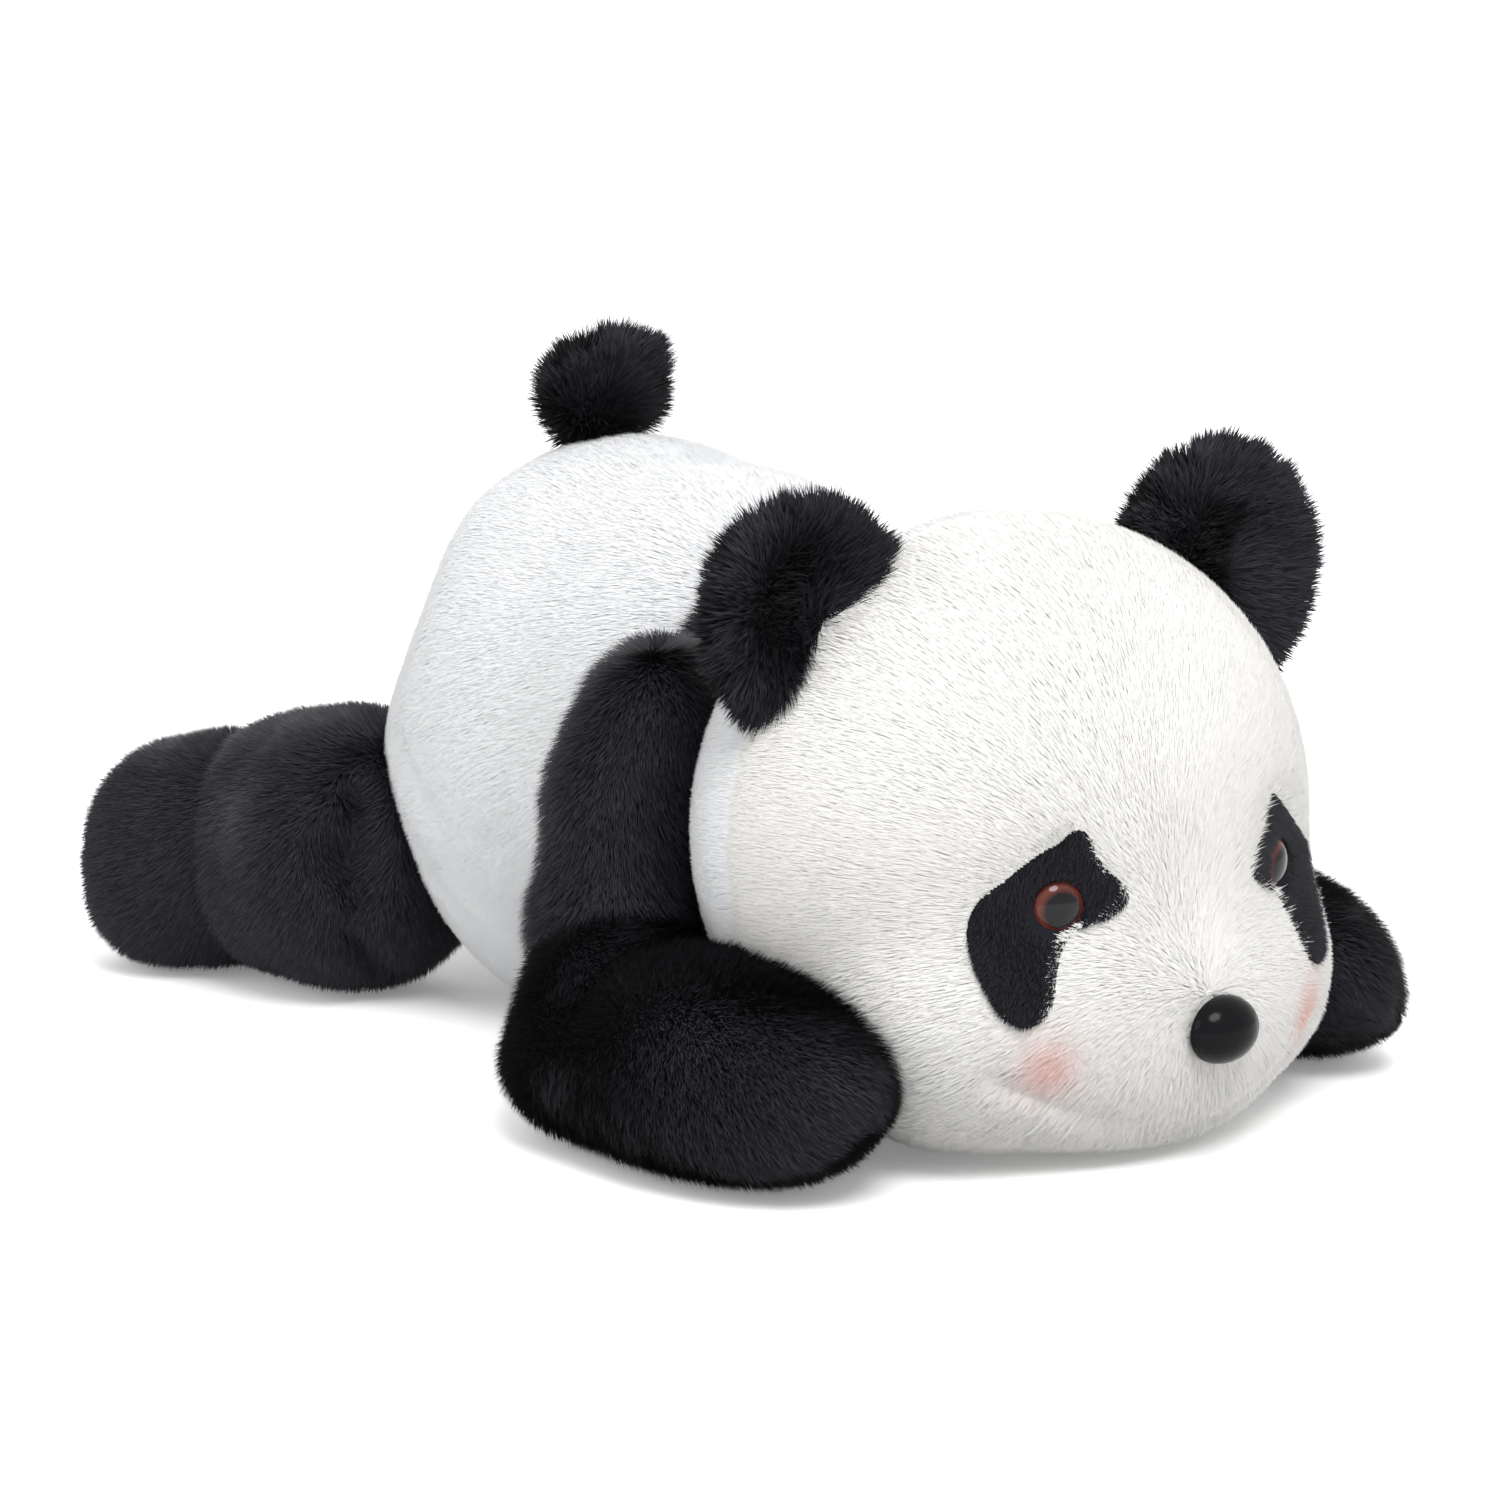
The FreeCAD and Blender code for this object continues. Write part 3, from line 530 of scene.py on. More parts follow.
def buried(places, tree, depth=0.002):
    """Which places lie inside a closed skin."""
    inside = np.zeros(len(places), bool)
    for i, p in enumerate(places):
        near, normal, _, far = tree.find_nearest(Vector(p))
        inside[i] = (Vector(p) - near).dot(normal) < -depth
    return inside


TREES = {"head": tree_of(head), "body": tree_of(body)}
for name, skin in limbs.items():
    TREES[name] = tree_of(skin)


def pile_length(obj, hides=()):
    """The pile's length as a share: uneven all over, none where a neighbour or the floor hides it."""
    places, normals = points_of(obj), normals_of(obj)
    share = 1.0 + 0.16 * np.array([noise.noise(Vector(p) * 150) for p in places])
    share[(normals[:, 2] < -0.75) & (places[:, 2] < 0.006)] = 0.0
    for other in hides:
        share[buried(places, TREES[other])] = 0.0
    return share


# %% Plant the pile
def plant_pile(name, skin, finish, per_mm2, length, width=0.0007, stand=0.9, unruly=0.25, seed=1, blade=None):
    """A pile of blades on a skin, as a mesh piece of its own."""
    obj = new_piece(name, skin.data.copy())
    obj.data.materials.clear()
    mod = obj.modifiers.new("pile", "NODES")
    mod.node_group = PLANT
    settings = {"Blade": blade or short_blade, "Per square metre": per_mm2 * 1e6, "Length": length,
                "Width": width, "Stand": stand, "Unruly": unruly, "Seed": seed}
    for item in PLANT.interface.items_tree:
        if item.in_out == "INPUT" and item.name in settings:
            mod[item.identifier] = settings[item.name]
    apply_all(obj)
    obj.data.materials.clear()
    obj.data.materials.append(finish)
    for unused in ("comb", "grow"):
        if unused in obj.data.attributes:
            obj.data.attributes.remove(obj.data.attributes[unused])
    places = points_of(obj)
    places[:, 2] = np.maximum(places[:, 2], 0.0002)
    move_points(obj, places)
    print(name, len(obj.data.polygons), "blade faces")
    return obj


# %% [markdown]
# ## Finishes
# Pale pile is nearly plain diffuse white with a warm or a cool cast, a shade darker at its roots as painted
# shade deep in the pile; black pile is a dark navy that greys at its tips, a painted sheen where each fibre
# catches light. One node group mixes root and tip colours, adds the uneven tone of real fibres, and lets a
# mark on the skin tint the pile, as the blush does and as the painted sheen on the limbs does. Light
# also passes through a pale fibre, so the pale pile mixes in a share that is lit from behind.

# %% The colour of a fibre
def fibre_group():
    group = bpy.data.node_groups.new("fibre_colour", "ShaderNodeTree")
    for name in ("Root", "Tip", "Mark"):
        group.interface.new_socket(name, in_out="INPUT", socket_type="NodeSocketColor")
    spread = group.interface.new_socket("Spread", in_out="INPUT", socket_type="NodeSocketFloat")
    spread.default_value = 0.1
    group.interface.new_socket("Color", in_out="OUTPUT", socket_type="NodeSocketColor")
    nodes, links = group.nodes, group.links

    def attribute(name):
        made = nodes.new("ShaderNodeAttribute")
        made.attribute_name = name
        return made.outputs["Fac"]

    def blend_of(share, first, second):
        made = nodes.new("ShaderNodeMix")
        made.data_type = "RGBA"
        links.new(share, made.inputs["Factor"])
        links.new(first, made.inputs[6])
        links.new(second, made.inputs[7])
        return made.outputs[2]

    given, result = nodes.new("NodeGroupInput"), nodes.new("NodeGroupOutput")
    # Root to tip: the darker root is painted shade deep in the pile, and the lighter tip is a painted sheen.
    root_shade_tip_sheen = blend_of(attribute("along"), given.outputs["Root"], given.outputs["Tip"])
    # The mark tints the pile: with the blush on the cheeks, and with a painted sheen on the limbs.
    marked = blend_of(attribute("mark"), root_shade_tip_sheen, given.outputs["Mark"])
    centred = nodes.new("ShaderNodeMath")
    centred.operation = "SUBTRACT"
    links.new(attribute("tone"), centred.inputs[0])
    centred.inputs[1].default_value = 0.5
    swing = nodes.new("ShaderNodeMath")
    swing.operation = "MULTIPLY_ADD"
    links.new(centred.outputs[0], swing.inputs[0])
    links.new(given.outputs["Spread"], swing.inputs[1])
    swing.inputs[2].default_value = 1.0
    shade = nodes.new("ShaderNodeVectorMath")
    shade.operation = "SCALE"
    links.new(marked, shade.inputs[0])
    links.new(swing.outputs[0], shade.inputs["Scale"])
    links.new(shade.outputs[0], result.inputs["Color"])
    return group


FIBRE = fibre_group()


# %% Pile and backing materials
def new_finish(name, rough, specular):
    mat = bpy.data.materials.new(name)
    mat.use_nodes = True
    shader = mat.node_tree.nodes["Principled BSDF"]
    shader.inputs["Roughness"].default_value = rough
    shader.inputs["Specular IOR Level"].default_value = specular
    return mat, mat.node_tree.nodes, mat.node_tree.links, shader


def pile_finish(name, root, tip, mark, spread, sheen=0.0, rough=0.85, own_share=0.1, through=0.0):
    """A material for blades: its light follows the skin, its colour runs from root to tip.

    A share of the light comes through each blade from behind, as it does through a thin pale fibre.
    """
    mat, nodes, links, shader = new_finish(name, rough, 0.15)
    shader.inputs["Sheen Weight"].default_value = sheen
    shader.inputs["Sheen Roughness"].default_value = 0.4
    colour = nodes.new("ShaderNodeGroup")
    colour.node_tree = FIBRE
    for socket, value in (("Root", root), ("Tip", tip), ("Mark", mark)):
        colour.inputs[socket].default_value = (*value, 1)
    colour.inputs["Spread"].default_value = spread
    links.new(colour.outputs["Color"], shader.inputs["Base Color"])
    skin = nodes.new("ShaderNodeAttribute")
    skin.attribute_name = "skin_normal"
    turned_way = nodes.new("ShaderNodeVectorTransform")
    turned_way.vector_type = "NORMAL"
    turned_way.convert_from = "OBJECT"
    turned_way.convert_to = "WORLD"
    links.new(skin.outputs["Vector"], turned_way.inputs["Vector"])
    own = nodes.new("ShaderNodeNewGeometry")
    mix = nodes.new("ShaderNodeMix")
    mix.data_type = "VECTOR"
    mix.inputs["Factor"].default_value = own_share
    links.new(turned_way.outputs["Vector"], mix.inputs[4])
    links.new(own.outputs["Normal"], mix.inputs[5])
    flat = nodes.new("ShaderNodeVectorMath")
    flat.operation = "NORMALIZE"
    links.new(mix.outputs[1], flat.inputs[0])
    links.new(flat.outputs[0], shader.inputs["Normal"])
    if through:
        behind = nodes.new("ShaderNodeVectorMath")
        behind.operation = "SCALE"
        behind.inputs["Scale"].default_value = -1.0
        links.new(flat.outputs[0], behind.inputs[0])
        glow = nodes.new("ShaderNodeBsdfTranslucent")
        links.new(colour.outputs["Color"], glow.inputs["Color"])
        links.new(behind.outputs[0], glow.inputs["Normal"])
        both = nodes.new("ShaderNodeMixShader")
        both.inputs["Fac"].default_value = through
        links.new(shader.outputs[0], both.inputs[1])
        links.new(glow.outputs[0], both.inputs[2])
        links.new(both.outputs[0], nodes["Material Output"].inputs["Surface"])
    return mat


def backing_finish(name, colour):
    """The woven backing under the pile, seen only in the partings."""
    mat, nodes, links, shader = new_finish(name, 0.95, 0.1)
    place = nodes.new("ShaderNodeTexCoord")
    knit = nodes.new("ShaderNodeTexNoise")
    knit.inputs["Scale"].default_value = 900.0
    knit.inputs["Detail"].default_value = 3.0
    links.new(place.outputs["Object"], knit.inputs["Vector"])
    mix = nodes.new("ShaderNodeMix")
    mix.data_type = "RGBA"
    mix.inputs[6].default_value = (*[c * 0.85 for c in colour], 1)
    mix.inputs[7].default_value = (*colour, 1)
    links.new(knit.outputs["Fac"], mix.inputs["Factor"])
    links.new(mix.outputs[2], shader.inputs["Base Color"])
    bump = nodes.new("ShaderNodeBump")
    bump.inputs["Strength"].default_value = 0.4
    bump.inputs["Distance"].default_value = 0.0006
    links.new(knit.outputs["Fac"], bump.inputs["Height"])
    links.new(bump.outputs["Normal"], shader.inputs["Normal"])
    return mat


BLUSH = (0.92, 0.52, 0.47)
# The grey mark colour of the black piles is a painted sheen, where light catches the pile.
SHEEN_GREY = (0.11, 0.11, 0.135)
# Root colours are darker than tips: painted shade deep in the pile, and a painted sheen at the black tips.
cream_pile = pile_finish("cream_pile", (0.965, 0.95, 0.915), (0.975, 0.965, 0.94), BLUSH, 0.02,
                         own_share=0.0, through=0.4)
cool_pile = pile_finish("cool_pile", (0.935, 0.945, 0.955), (0.945, 0.955, 0.965), BLUSH, 0.02,
                        own_share=0.0, through=0.4)
black_pile = pile_finish("black_pile", (0.006, 0.006, 0.008), (0.021, 0.021, 0.028), SHEEN_GREY, 1.6,
                         sheen=0.16, rough=0.6, own_share=0.35)
patch_pile = pile_finish("patch_pile", (0.006, 0.006, 0.008), (0.017, 0.017, 0.023), SHEEN_GREY, 1.3,
                         sheen=0.12, rough=0.6, own_share=0.25)
cream_backing = backing_finish("cream_backing", (0.92, 0.90, 0.86))
cool_backing = backing_finish("cool_backing", (0.89, 0.91, 0.93))
black_backing = backing_finish("black_backing", (0.012, 0.012, 0.017))
print("finishes", [mat.name for mat in bpy.data.materials if mat.name.endswith(("pile", "backing"))])


# %% [markdown]
# ## Dressing each part
# The head's pile runs back from the nose, the body's runs back and down, and each limb's runs
# towards its paw.

# %% Flows
def flow_from(point, down=0.3):
    """Away from a point, and a little down."""
    def flow(places, normals):
        way = places - np.array(point)
        way /= np.linalg.norm(way, axis=1)[:, None]
        way[:, 2] -= down
        return way
    return flow


def flow_along(direction):
    """The same direction everywhere."""
    def flow(places, normals):
        return np.tile(np.array(direction, float), (len(places), 1))
    return flow


# %% Dress the head
BLUSH_AT, BLUSH_REACH, BLUSH_SHARE = (0.0604, -0.2395, 0.0440), 0.0105, 0.75
NOSE_AT, NOSE_REACH = (0, -0.262, 0.050), (0.014, 0.02, 0.0115)
PALE_PILE = {"length": 0.0068, "width": 0.0008, "stand": 0.28, "unruly": 0.07}
LAYERS, LAYER_PER_MM2 = 3, 0.85


def round_mark(places, at, reach):
    """A soft round mark: one in its middle, fading past its reach."""
    return np.exp(-(np.linalg.norm(places - np.array(at), axis=1) / reach) ** 2)


def blush(places):
    """The pink rounds on the cheeks, strongest in the middle."""
    return BLUSH_SHARE * np.maximum(*[round_mark(places, at, BLUSH_REACH) for at in both_sides(BLUSH_AT)])


def nose_distance(places):
    """How far each place is from the nose, where one is about the nose's edge."""
    return np.linalg.norm((places - np.array(NOSE_AT)) / np.array(NOSE_REACH), axis=1)


def face_pile_length(obj):
    """The length of the face's pile as a share: none under the patches and the nose."""
    share = pile_length(obj, ["body", "forearm_right", "forearm_left"])
    places = points_of(obj)
    for sign in SIDES.values():
        share *= np.clip(0.5 - patch_depth(places, sign) / 3.5, 0, 1)
    share[nose_distance(places) < 0.78] = 0.0
    return share


for skin, backing in ((face_panel, cream_backing), (back_panel, cool_backing)):
    comb(skin, flow_from((0, -0.262, 0.06)), swirl=0.25, tuft=0.08)
    store_value(skin, "grow", face_pile_length(skin))
    store_value(skin, "mark", blush(points_of(skin)))
    skin.data.materials.append(backing)
for part in range(LAYERS):
    pile = plant_pile(f"face_pile_{part}", face_panel, cream_pile, LAYER_PER_MM2, seed=11 + part, **PALE_PILE)
    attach(pile, "head")
pile = plant_pile("head_back_pile", back_panel, cool_pile, 2.3, seed=15, **PALE_PILE)
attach(pile, "head")

# %% [markdown]
# Where the white pile meets the patches and the nose, a thin fringe of longer blades leans over their
# edge and breaks it up. It is planted only in a narrow, uneven band along the edge.

# %% Fringe over the patches and the nose
fringe_skin = new_piece("fringe_skin", face_panel.data.copy())
places = points_of(fringe_skin)
ragged = 1.4 * np.array([noise.noise(Vector(p) * 170) for p in places])
edge = np.maximum(*[patch_depth(places, sign) for sign in SIDES.values()])
by_patch = np.exp(-((edge + 1.5 + ragged) / 1.5) ** 2)
by_nose = np.exp(-((nose_distance(places) - 0.92) / 0.14) ** 2)
store_value(fringe_skin, "grow", np.maximum(by_patch, by_nose))
way = np.empty(len(places) * 3, np.float32)
fringe_skin.data.attributes["comb"].data.foreach_get("vector", way)
way = way.reshape(-1, 3)
toward = np.array(NOSE_AT) - places
toward /= np.linalg.norm(toward, axis=1)[:, None]
way = np.where((by_nose > by_patch)[:, None], toward * 0.5, way)
fringe_skin.data.attributes["comb"].data.foreach_set("vector", way.astype(np.float32).ravel())
fringe = plant_pile("face_fringe", fringe_skin, cream_pile, 1.5, 0.0075, width=0.0005, seed=17, stand=0.35,
                    unruly=0.25, blade=long_blade)
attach(fringe, "head")
bpy.data.objects.remove(fringe_skin)

# %% Close the head panels
for skin, nodes_of, slot_name in ((face_panel, ("head_cover_face", "head_stuffing"), "plush_cream"),
                                  (back_panel, ("head_cover_back",), "plush_cool_white")):
    close_up(skin)
    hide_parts(*nodes_of)
    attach(skin, "head")

# %% Dress the body
BLACK_LENGTH = 0.0085
for skin, backing, flow in ((white_panel, cool_backing, flow_from((0, -0.2, 0.16))),
                            (band_panel, black_backing, flow_along((0, 0.7, -0.5)))):
    comb(skin, flow, swirl=0.25, tuft=0.08 if skin is white_panel else 0.22)
    store_value(skin, "grow", pile_length(skin, ["head", "upper_arm_right", "upper_arm_left", "thigh_right",
                                                 "thigh_left"]))
    skin.data.materials.append(backing)
for part in range(LAYERS):
    pile = plant_pile(f"body_pile_{part}", white_panel, cool_pile, LAYER_PER_MM2, seed=21 + part, **PALE_PILE)
    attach(pile, "body")
pile = plant_pile("band_pile", band_panel, black_pile, 2.0, BLACK_LENGTH, seed=25)
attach(pile, "body")
for skin, nodes_of, slot_name in ((white_panel, ("body_cover_white", "body_stuffing"), "plush_cool_white"),
                                  (band_panel, ("body_cover_band", "neck_wad"), "plush_black")):
    close_up(skin)
    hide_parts(*nodes_of)
    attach(skin, "body")
for whole in (head, body):
    bpy.data.objects.remove(whole)

# %% Dress the limbs
FLOWS = {"upper_arm": (0, 0.1, -1), "forearm": (0, -1, -0.5), "thigh": (0, 0.5, -0.8), "foot": (0, 0.7, -0.6)}
PAINTED_SHEEN_SHARE = 0.32
NEIGHBOURS = {"upper_arm": ["body", "forearm", "head"], "forearm": ["upper_arm"], "thigh": ["body", "foot"],
              "foot": ["thigh"]}
for name, skin in limbs.items():
    limb, side = name.rsplit("_", 1)
    sign = SIDES[side]
    skin.data.materials.append(black_backing)
    comb(skin, flow_along(FLOWS[limb]))
    hides = [n if n in TREES else f"{n}_{side}" for n in NEIGHBOURS[limb]]
    store_value(skin, "grow", pile_length(skin, hides))
    places = points_of(skin)
    # Painted sheen: lighter grey patches on the elbow, the paw and the thigh, where light catches the black
    # pile.
    sheen_spots = [((sign * 0.114, -0.076, 0.071), 0.012), ((sign * 0.150, -0.150, 0.058), 0.020),
              ((sign * 0.110, 0.105, 0.075), 0.010), ((sign * 0.125, 0.160, 0.080), 0.016)]
    painted_sheen = np.max([round_mark(places, at, reach) for at, reach in sheen_spots], axis=0)
    store_value(skin, "mark", painted_sheen * PAINTED_SHEEN_SHARE)
    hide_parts(f"{limb}_cover_{side}", f"{limb}_stuffing_{side}")
    pile = plant_pile(f"{limb}_pile_{side}", skin, black_pile, 2.2, BLACK_LENGTH, seed=31)
    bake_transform(skin)
    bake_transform(pile)

# %% [markdown]
# The ears and the tail have the longest pile on the toy. Their blades are three faces long and
# curl over, and they fan out from the root, so the outline is ragged.

# %% Dress the ears and the tail
TUFT_PILE = {"length": 0.0125, "width": 0.0008, "stand": 0.55, "blade": long_blade}
for side, sign in SIDES.items():
    skin = ears[side]
    root = Vector(EAR_ROOT[side])
    skin.data.materials.append(black_backing)
    comb(skin, flow_from(root, 0.15), swirl=0.5, tuft=0.6)
    store_value(skin, "grow", pile_length(skin, ["head"]))
    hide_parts(f"ear_front_{side}", f"ear_back_{side}", f"ear_stuffing_{side}")
    pile = plant_pile(f"ear_pile_{side}", skin, black_pile, 2.2, unruly=0.32, seed=41, **TUFT_PILE)
    for piece in (skin, pile):
        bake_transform(piece)
tail.data.materials.append(black_backing)
comb(tail, flow_from((0, 0.092, 0.215), 0.1), swirl=0.6, tuft=0.7)
store_value(tail, "grow", pile_length(tail, ["body"]))
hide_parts("tail_cover", "tail_stuffing")
tail_pile = plant_pile("tail_pile", tail, black_pile, 2.6, unruly=0.35, seed=45, **TUFT_PILE)
for piece in (tail, tail_pile):
    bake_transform(piece)

# %% [markdown]
# The eye patches carry a shorter black pile, cut thin where the white pile of the face leans over.

# %% Dress the eye patches
for side, sign in SIDES.items():
    sheet = patches[side]
    comb(sheet, flow_along((sign * 0.6, 0.2, -0.8)), lean=0.9)
    share = pile_length(sheet) * np.clip((patch_depth(points_of(sheet), sign) + 2.0) / 3.0, 0, 1)
    eye_far = np.linalg.norm(points_of(sheet) - np.array((sign * EYE_AT[0], EYE_AT[1], EYE_AT[2])), axis=1)
    share[eye_far < 0.0118] = 0.0
    store_value(sheet, "grow", share)
    pile = plant_pile(f"eye_patch_{side}_pile", sheet, patch_pile, 4.0, 0.0048, width=0.0006, stand=0.7,
                      seed=51)
    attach(pile, "head")
    thick = sheet.modifiers.new("thickness", "SOLIDIFY")
    thick.thickness = 0.0012
    apply_all(sheet)
    sheet.data.materials.append(black_backing)
    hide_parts(f"eye_patch_{side}")
    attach(sheet, "head")

# %% [markdown]
# ## Eyes and nose
# A safety eye is a clear dome moulded over a brown iris and a black pupil, on a ribbed stem that a
# washer locks behind the fabric. Each part is a profile spun round the eye's own axis. The dome
# sits tight on the paint, so one surface with a clear coat shows both, by its distance from the axis.

# %% Turned plastic parts
def turned(name, profile, place, steps=48):
    """A lathe part: a closed profile of (radius, height) in millimetres, spun and put in its place."""
    mesh = bpy.data.meshes.new(name)
    bm = bmesh.new()
    verts = [bm.verts.new((r / 1000, 0, h / 1000)) for r, h in profile]
    edges = [bm.edges.new(pair) for pair in zip(verts[:-1], verts[1:])]
    bmesh.ops.spin(bm, geom=verts + edges, cent=(0, 0, 0), axis=(0, 0, 1), angle=2 * math.pi, steps=steps,
                   use_merge=True)
    bmesh.ops.remove_doubles(bm, verts=bm.verts, dist=1e-6)
    bmesh.ops.recalc_face_normals(bm, faces=bm.faces)
    ring = bm.verts.layers.float.new("ring")
    for v in bm.verts:
        v[ring] = math.hypot(v.co.x, v.co.y) * 100
    bmesh.ops.transform(bm, matrix=place, verts=bm.verts)
    bm.to_mesh(mesh)
    bm.free()
    for face in mesh.polygons:
        face.use_smooth = True
    return new_piece(name, mesh)


def speckled(name, low, high, rough, scale, specular=0.5, bump_mm=0.02):
    """Moulded plastic: two close tones and an uneven gloss."""
    mat, nodes, links, shader = new_finish(name, rough, specular)
    place = nodes.new("ShaderNodeTexCoord")
    grain = nodes.new("ShaderNodeTexNoise")
    grain.inputs["Scale"].default_value = scale
    grain.inputs["Detail"].default_value = 4.0
    links.new(place.outputs["Object"], grain.inputs["Vector"])
    tone = nodes.new("ShaderNodeMix")
    tone.data_type = "RGBA"
    tone.inputs[6].default_value = (*low, 1)
    tone.inputs[7].default_value = (*high, 1)
    links.new(grain.outputs["Fac"], tone.inputs["Factor"])
    links.new(tone.outputs[2], shader.inputs["Base Color"])
    gloss = nodes.new("ShaderNodeMapRange")
    gloss.inputs["To Min"].default_value = rough * 0.7
    gloss.inputs["To Max"].default_value = rough * 1.4
    links.new(grain.outputs["Fac"], gloss.inputs["Value"])
    links.new(gloss.outputs["Result"], shader.inputs["Roughness"])
    bump = nodes.new("ShaderNodeBump")
    bump.inputs["Strength"].default_value = 0.25
    bump.inputs["Distance"].default_value = bump_mm / 1000
    links.new(grain.outputs["Fac"], bump.inputs["Height"])
    links.new(bump.outputs["Normal"], shader.inputs["Normal"])
    return mat


def iris_finish():
    """The eye's iris and pupil under their clear dome, by the distance from the middle."""
    mat, nodes, links, shader = new_finish("iris_under_dome", 0.12, 0.15)
    shader.inputs["Coat Weight"].default_value = 0.35
    shader.inputs["Coat Roughness"].default_value = 0.03
    ring = nodes.new("ShaderNodeAttribute")
    ring.attribute_name = "ring"
    ramp = nodes.new("ShaderNodeValToRGB")
    stops = ramp.color_ramp.elements
    stops[0].position, stops[0].color = 0.60, (0.002, 0.002, 0.003, 1)
    stops[1].position, stops[1].color = 0.98, (0.020, 0.006, 0.005, 1)
    browns = ((0.65, (0.040, 0.009, 0.007)), (0.80, (0.115, 0.026, 0.017)), (0.90, (0.080, 0.018, 0.012)))
    for position, colour in browns:
        stops.new(position).color = (*colour, 1)
    links.new(ring.outputs["Fac"], ramp.inputs["Fac"])
    links.new(ramp.outputs["Color"], shader.inputs["Base Color"])
    return mat


rim_brown = speckled("rim_brown", (0.055, 0.014, 0.010), (0.095, 0.026, 0.017), 0.22, 90.0, 0.2)
iris_under_dome = iris_finish()
nose_black = speckled("nose_black", (0.003, 0.003, 0.004), (0.006, 0.006, 0.007), 0.16, 70.0, 0.10, 0.02)
washer_white = speckled("washer_white", (0.78, 0.78, 0.75), (0.86, 0.86, 0.84), 0.5, 200.0)

# %% Eyes, nose and their washers
DOME = ((0, 5.6), (2.2, 5.45), (4.4, 4.95), (6.4, 4.1), (8.1, 2.9), (9.3, 1.5), (9.8, 0.3), (9.6, -0.2),
        (0, -0.2))
BACK = ((0, -0.35), (9.3, -0.35), (9.5, -0.8), (9.2, -1.3), (0, -1.3))
RIM = ((9.7, 0.1), (10.2, 0.35), (10.7, 0.0), (10.75, -0.8), (10.2, -1.3), (9.6, -0.9), (9.7, 0.1))
STEM = ((0, -1.4), (2.5, -1.4), (2.5, -3.0), (2.2, -3.3), (2.5, -4.5), (2.2, -4.8), (2.5, -6.0), (2.2, -6.3),
        (2.5, -9.0), (1.8, -10.5), (0, -10.5))
WASHER = ((2.7, -4.2), (7.4, -4.2), (8.0, -4.7), (8.0, -5.3), (7.4, -5.8), (3.2, -5.8), (2.7, -5.2),
          (2.7, -4.2))
for side, sign in SIDES.items():
    facing = Vector((sign * 0.352, -0.931, -0.09)).normalized()
    place = Matrix.Translation((sign * EYE_AT[0], EYE_AT[1] - 0.0020, EYE_AT[2])) @ facing.to_track_quat(
        "Z", "Y").to_matrix().to_4x4()
    parts = {"eye_dome": (DOME, iris_under_dome, "eye_clear"), "eye_back": (BACK, rim_brown, "eye_brown"),
             "eye_rim": (RIM, rim_brown, "eye_brown"), "eye_stem": (STEM, washer_white, "washer_plastic"),
             "eye_washer": (WASHER, washer_white, "washer_plastic")}
    stands_for = {part: f"{part}_{side}" for part in ("eye_dome", "eye_back", "eye_washer")}
    for part, (profile, finish, slot_name) in parts.items():
        piece = turned(f"{part}_{side}_turned", profile, place)
        piece.data.materials.append(finish)
        if part in stands_for:
            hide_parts(stands_for[part])
        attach(piece, "head")
for node, finish in (("nose", nose_black), ("nose_washer", washer_white)):
    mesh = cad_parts[node].data
    mesh.materials.clear()
    mesh.materials.append(finish)

# %% [markdown]
# ## Camera, floor and light
# The camera stands to the panda's right and a little above it, with a long lens. The floor and the
# backdrop are plain white; three big soft lamps keep the shadow under the belly pale, one of them
# from behind so that the rump is not left in the dark.

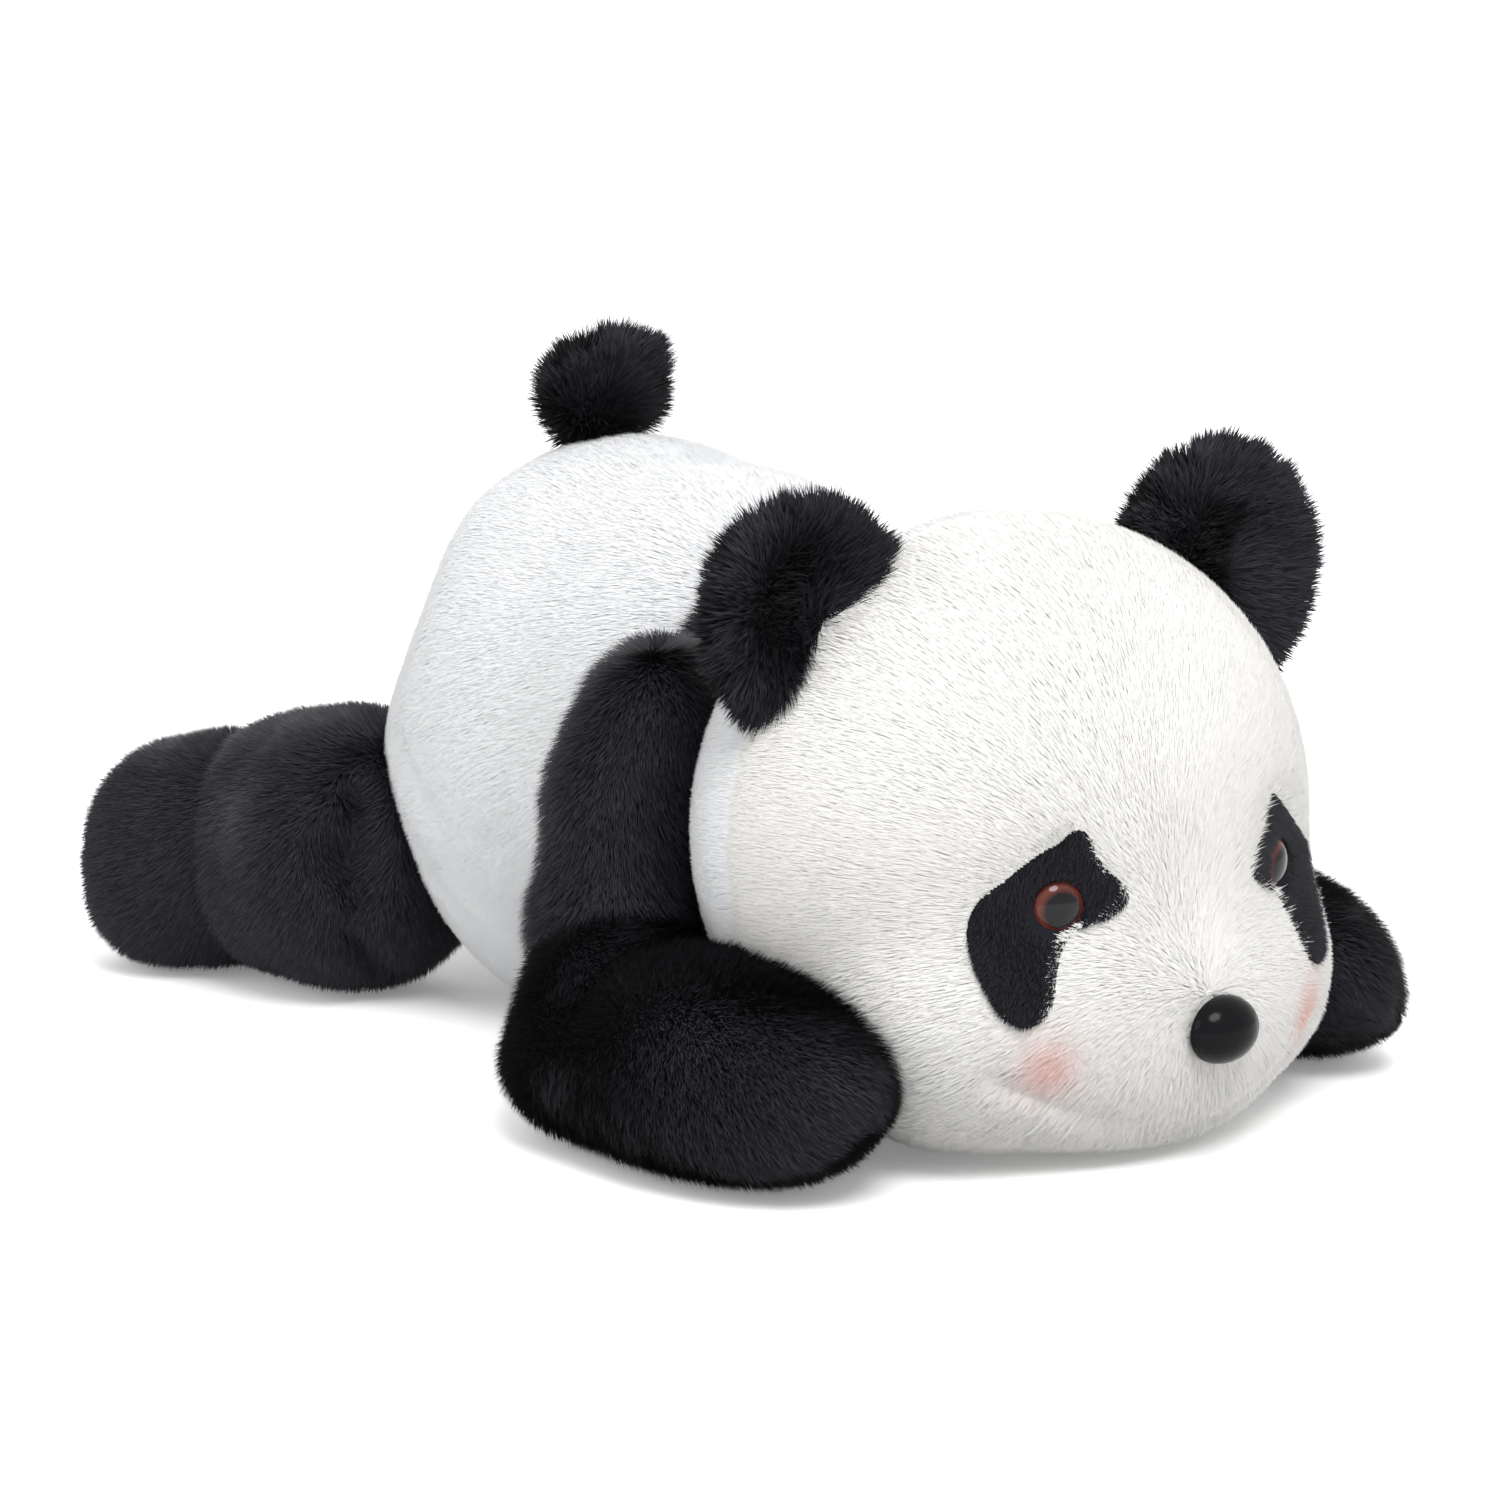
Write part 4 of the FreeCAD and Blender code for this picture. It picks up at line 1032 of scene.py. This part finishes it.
# %% Camera
AIM = Vector((0.0, -0.009, 0.1105))
AZIMUTH, ELEVATION, DISTANCE = math.radians(-40.5), math.radians(11.0), 1.8
back = Vector((math.sin(AZIMUTH) * math.cos(ELEVATION), -math.cos(AZIMUTH) * math.cos(ELEVATION),
               math.sin(ELEVATION)))
camera = bpy.data.objects.new("camera", bpy.data.cameras.new("camera"))
scene.collection.objects.link(camera)
camera.location = AIM + back * DISTANCE
camera.rotation_mode = "QUATERNION"
camera.rotation_quaternion = (-back).to_track_quat("-Z", "Y")
camera.data.lens = 2.64 * DISTANCE * 1000 / 1500 * 36
camera.data.sensor_width = 36
scene.camera = camera
print("camera", [round(c, 3) for c in camera.location], "lens", round(camera.data.lens, 1))

# %% Floor and backdrop
FLOOR_HALF = 40.0
floor_mesh = bpy.data.meshes.new("floor")
bm = bmesh.new()
bmesh.ops.create_grid(bm, x_segments=1, y_segments=1, size=FLOOR_HALF)
bm.to_mesh(floor_mesh)
bm.free()
floor = new_piece("floor", floor_mesh)
floor_white, nodes, links, shader = new_finish("floor_white", 0.9, 0.2)
shader.inputs["Base Color"].default_value = (0.95, 0.95, 0.95, 1)
shader.inputs["Emission Color"].default_value = (1, 1, 1, 1)
ray = nodes.new("ShaderNodeLightPath")
lift = nodes.new("ShaderNodeMath")
lift.operation = "MULTIPLY"
links.new(ray.outputs["Is Camera Ray"], lift.inputs[0])
lift.inputs[1].default_value = 0.2
links.new(lift.outputs[0], shader.inputs["Emission Strength"])
floor_mesh.materials.append(floor_white)
print("floor side", 2 * FLOOR_HALF, "m")

# %% Light
world = bpy.data.worlds.new("studio")
scene.world = world
world.use_nodes = True
sky = world.node_tree.nodes["Background"]
sky.inputs["Color"].default_value = (1, 1, 1, 1)
sky.inputs["Strength"].default_value = 0.98


def soft_lamp(name, at, aim, size, power):
    lamp = bpy.data.objects.new(name, bpy.data.lights.new(name, "AREA"))
    lamp.data.shape = "DISK"
    lamp.data.size = size
    lamp.data.energy = power
    lamp.location = at
    lamp.rotation_mode = "QUATERNION"
    lamp.rotation_quaternion = (Vector(aim) - Vector(at)).to_track_quat("-Z", "Y")
    scene.collection.objects.link(lamp)
    return lamp


soft_lamp("key", (-0.7, -1.4, 2.2), (0, 0, 0.1), 1.3, 47)
soft_lamp("fill", (-2.2, 0.6, 1.2), (0, 0, 0.1), 1.6, 10)
soft_lamp("back", (1.4, 1.8, 1.8), (0, 0, 0.1), 1.8, 20)
scene.view_settings.view_transform = "Standard"
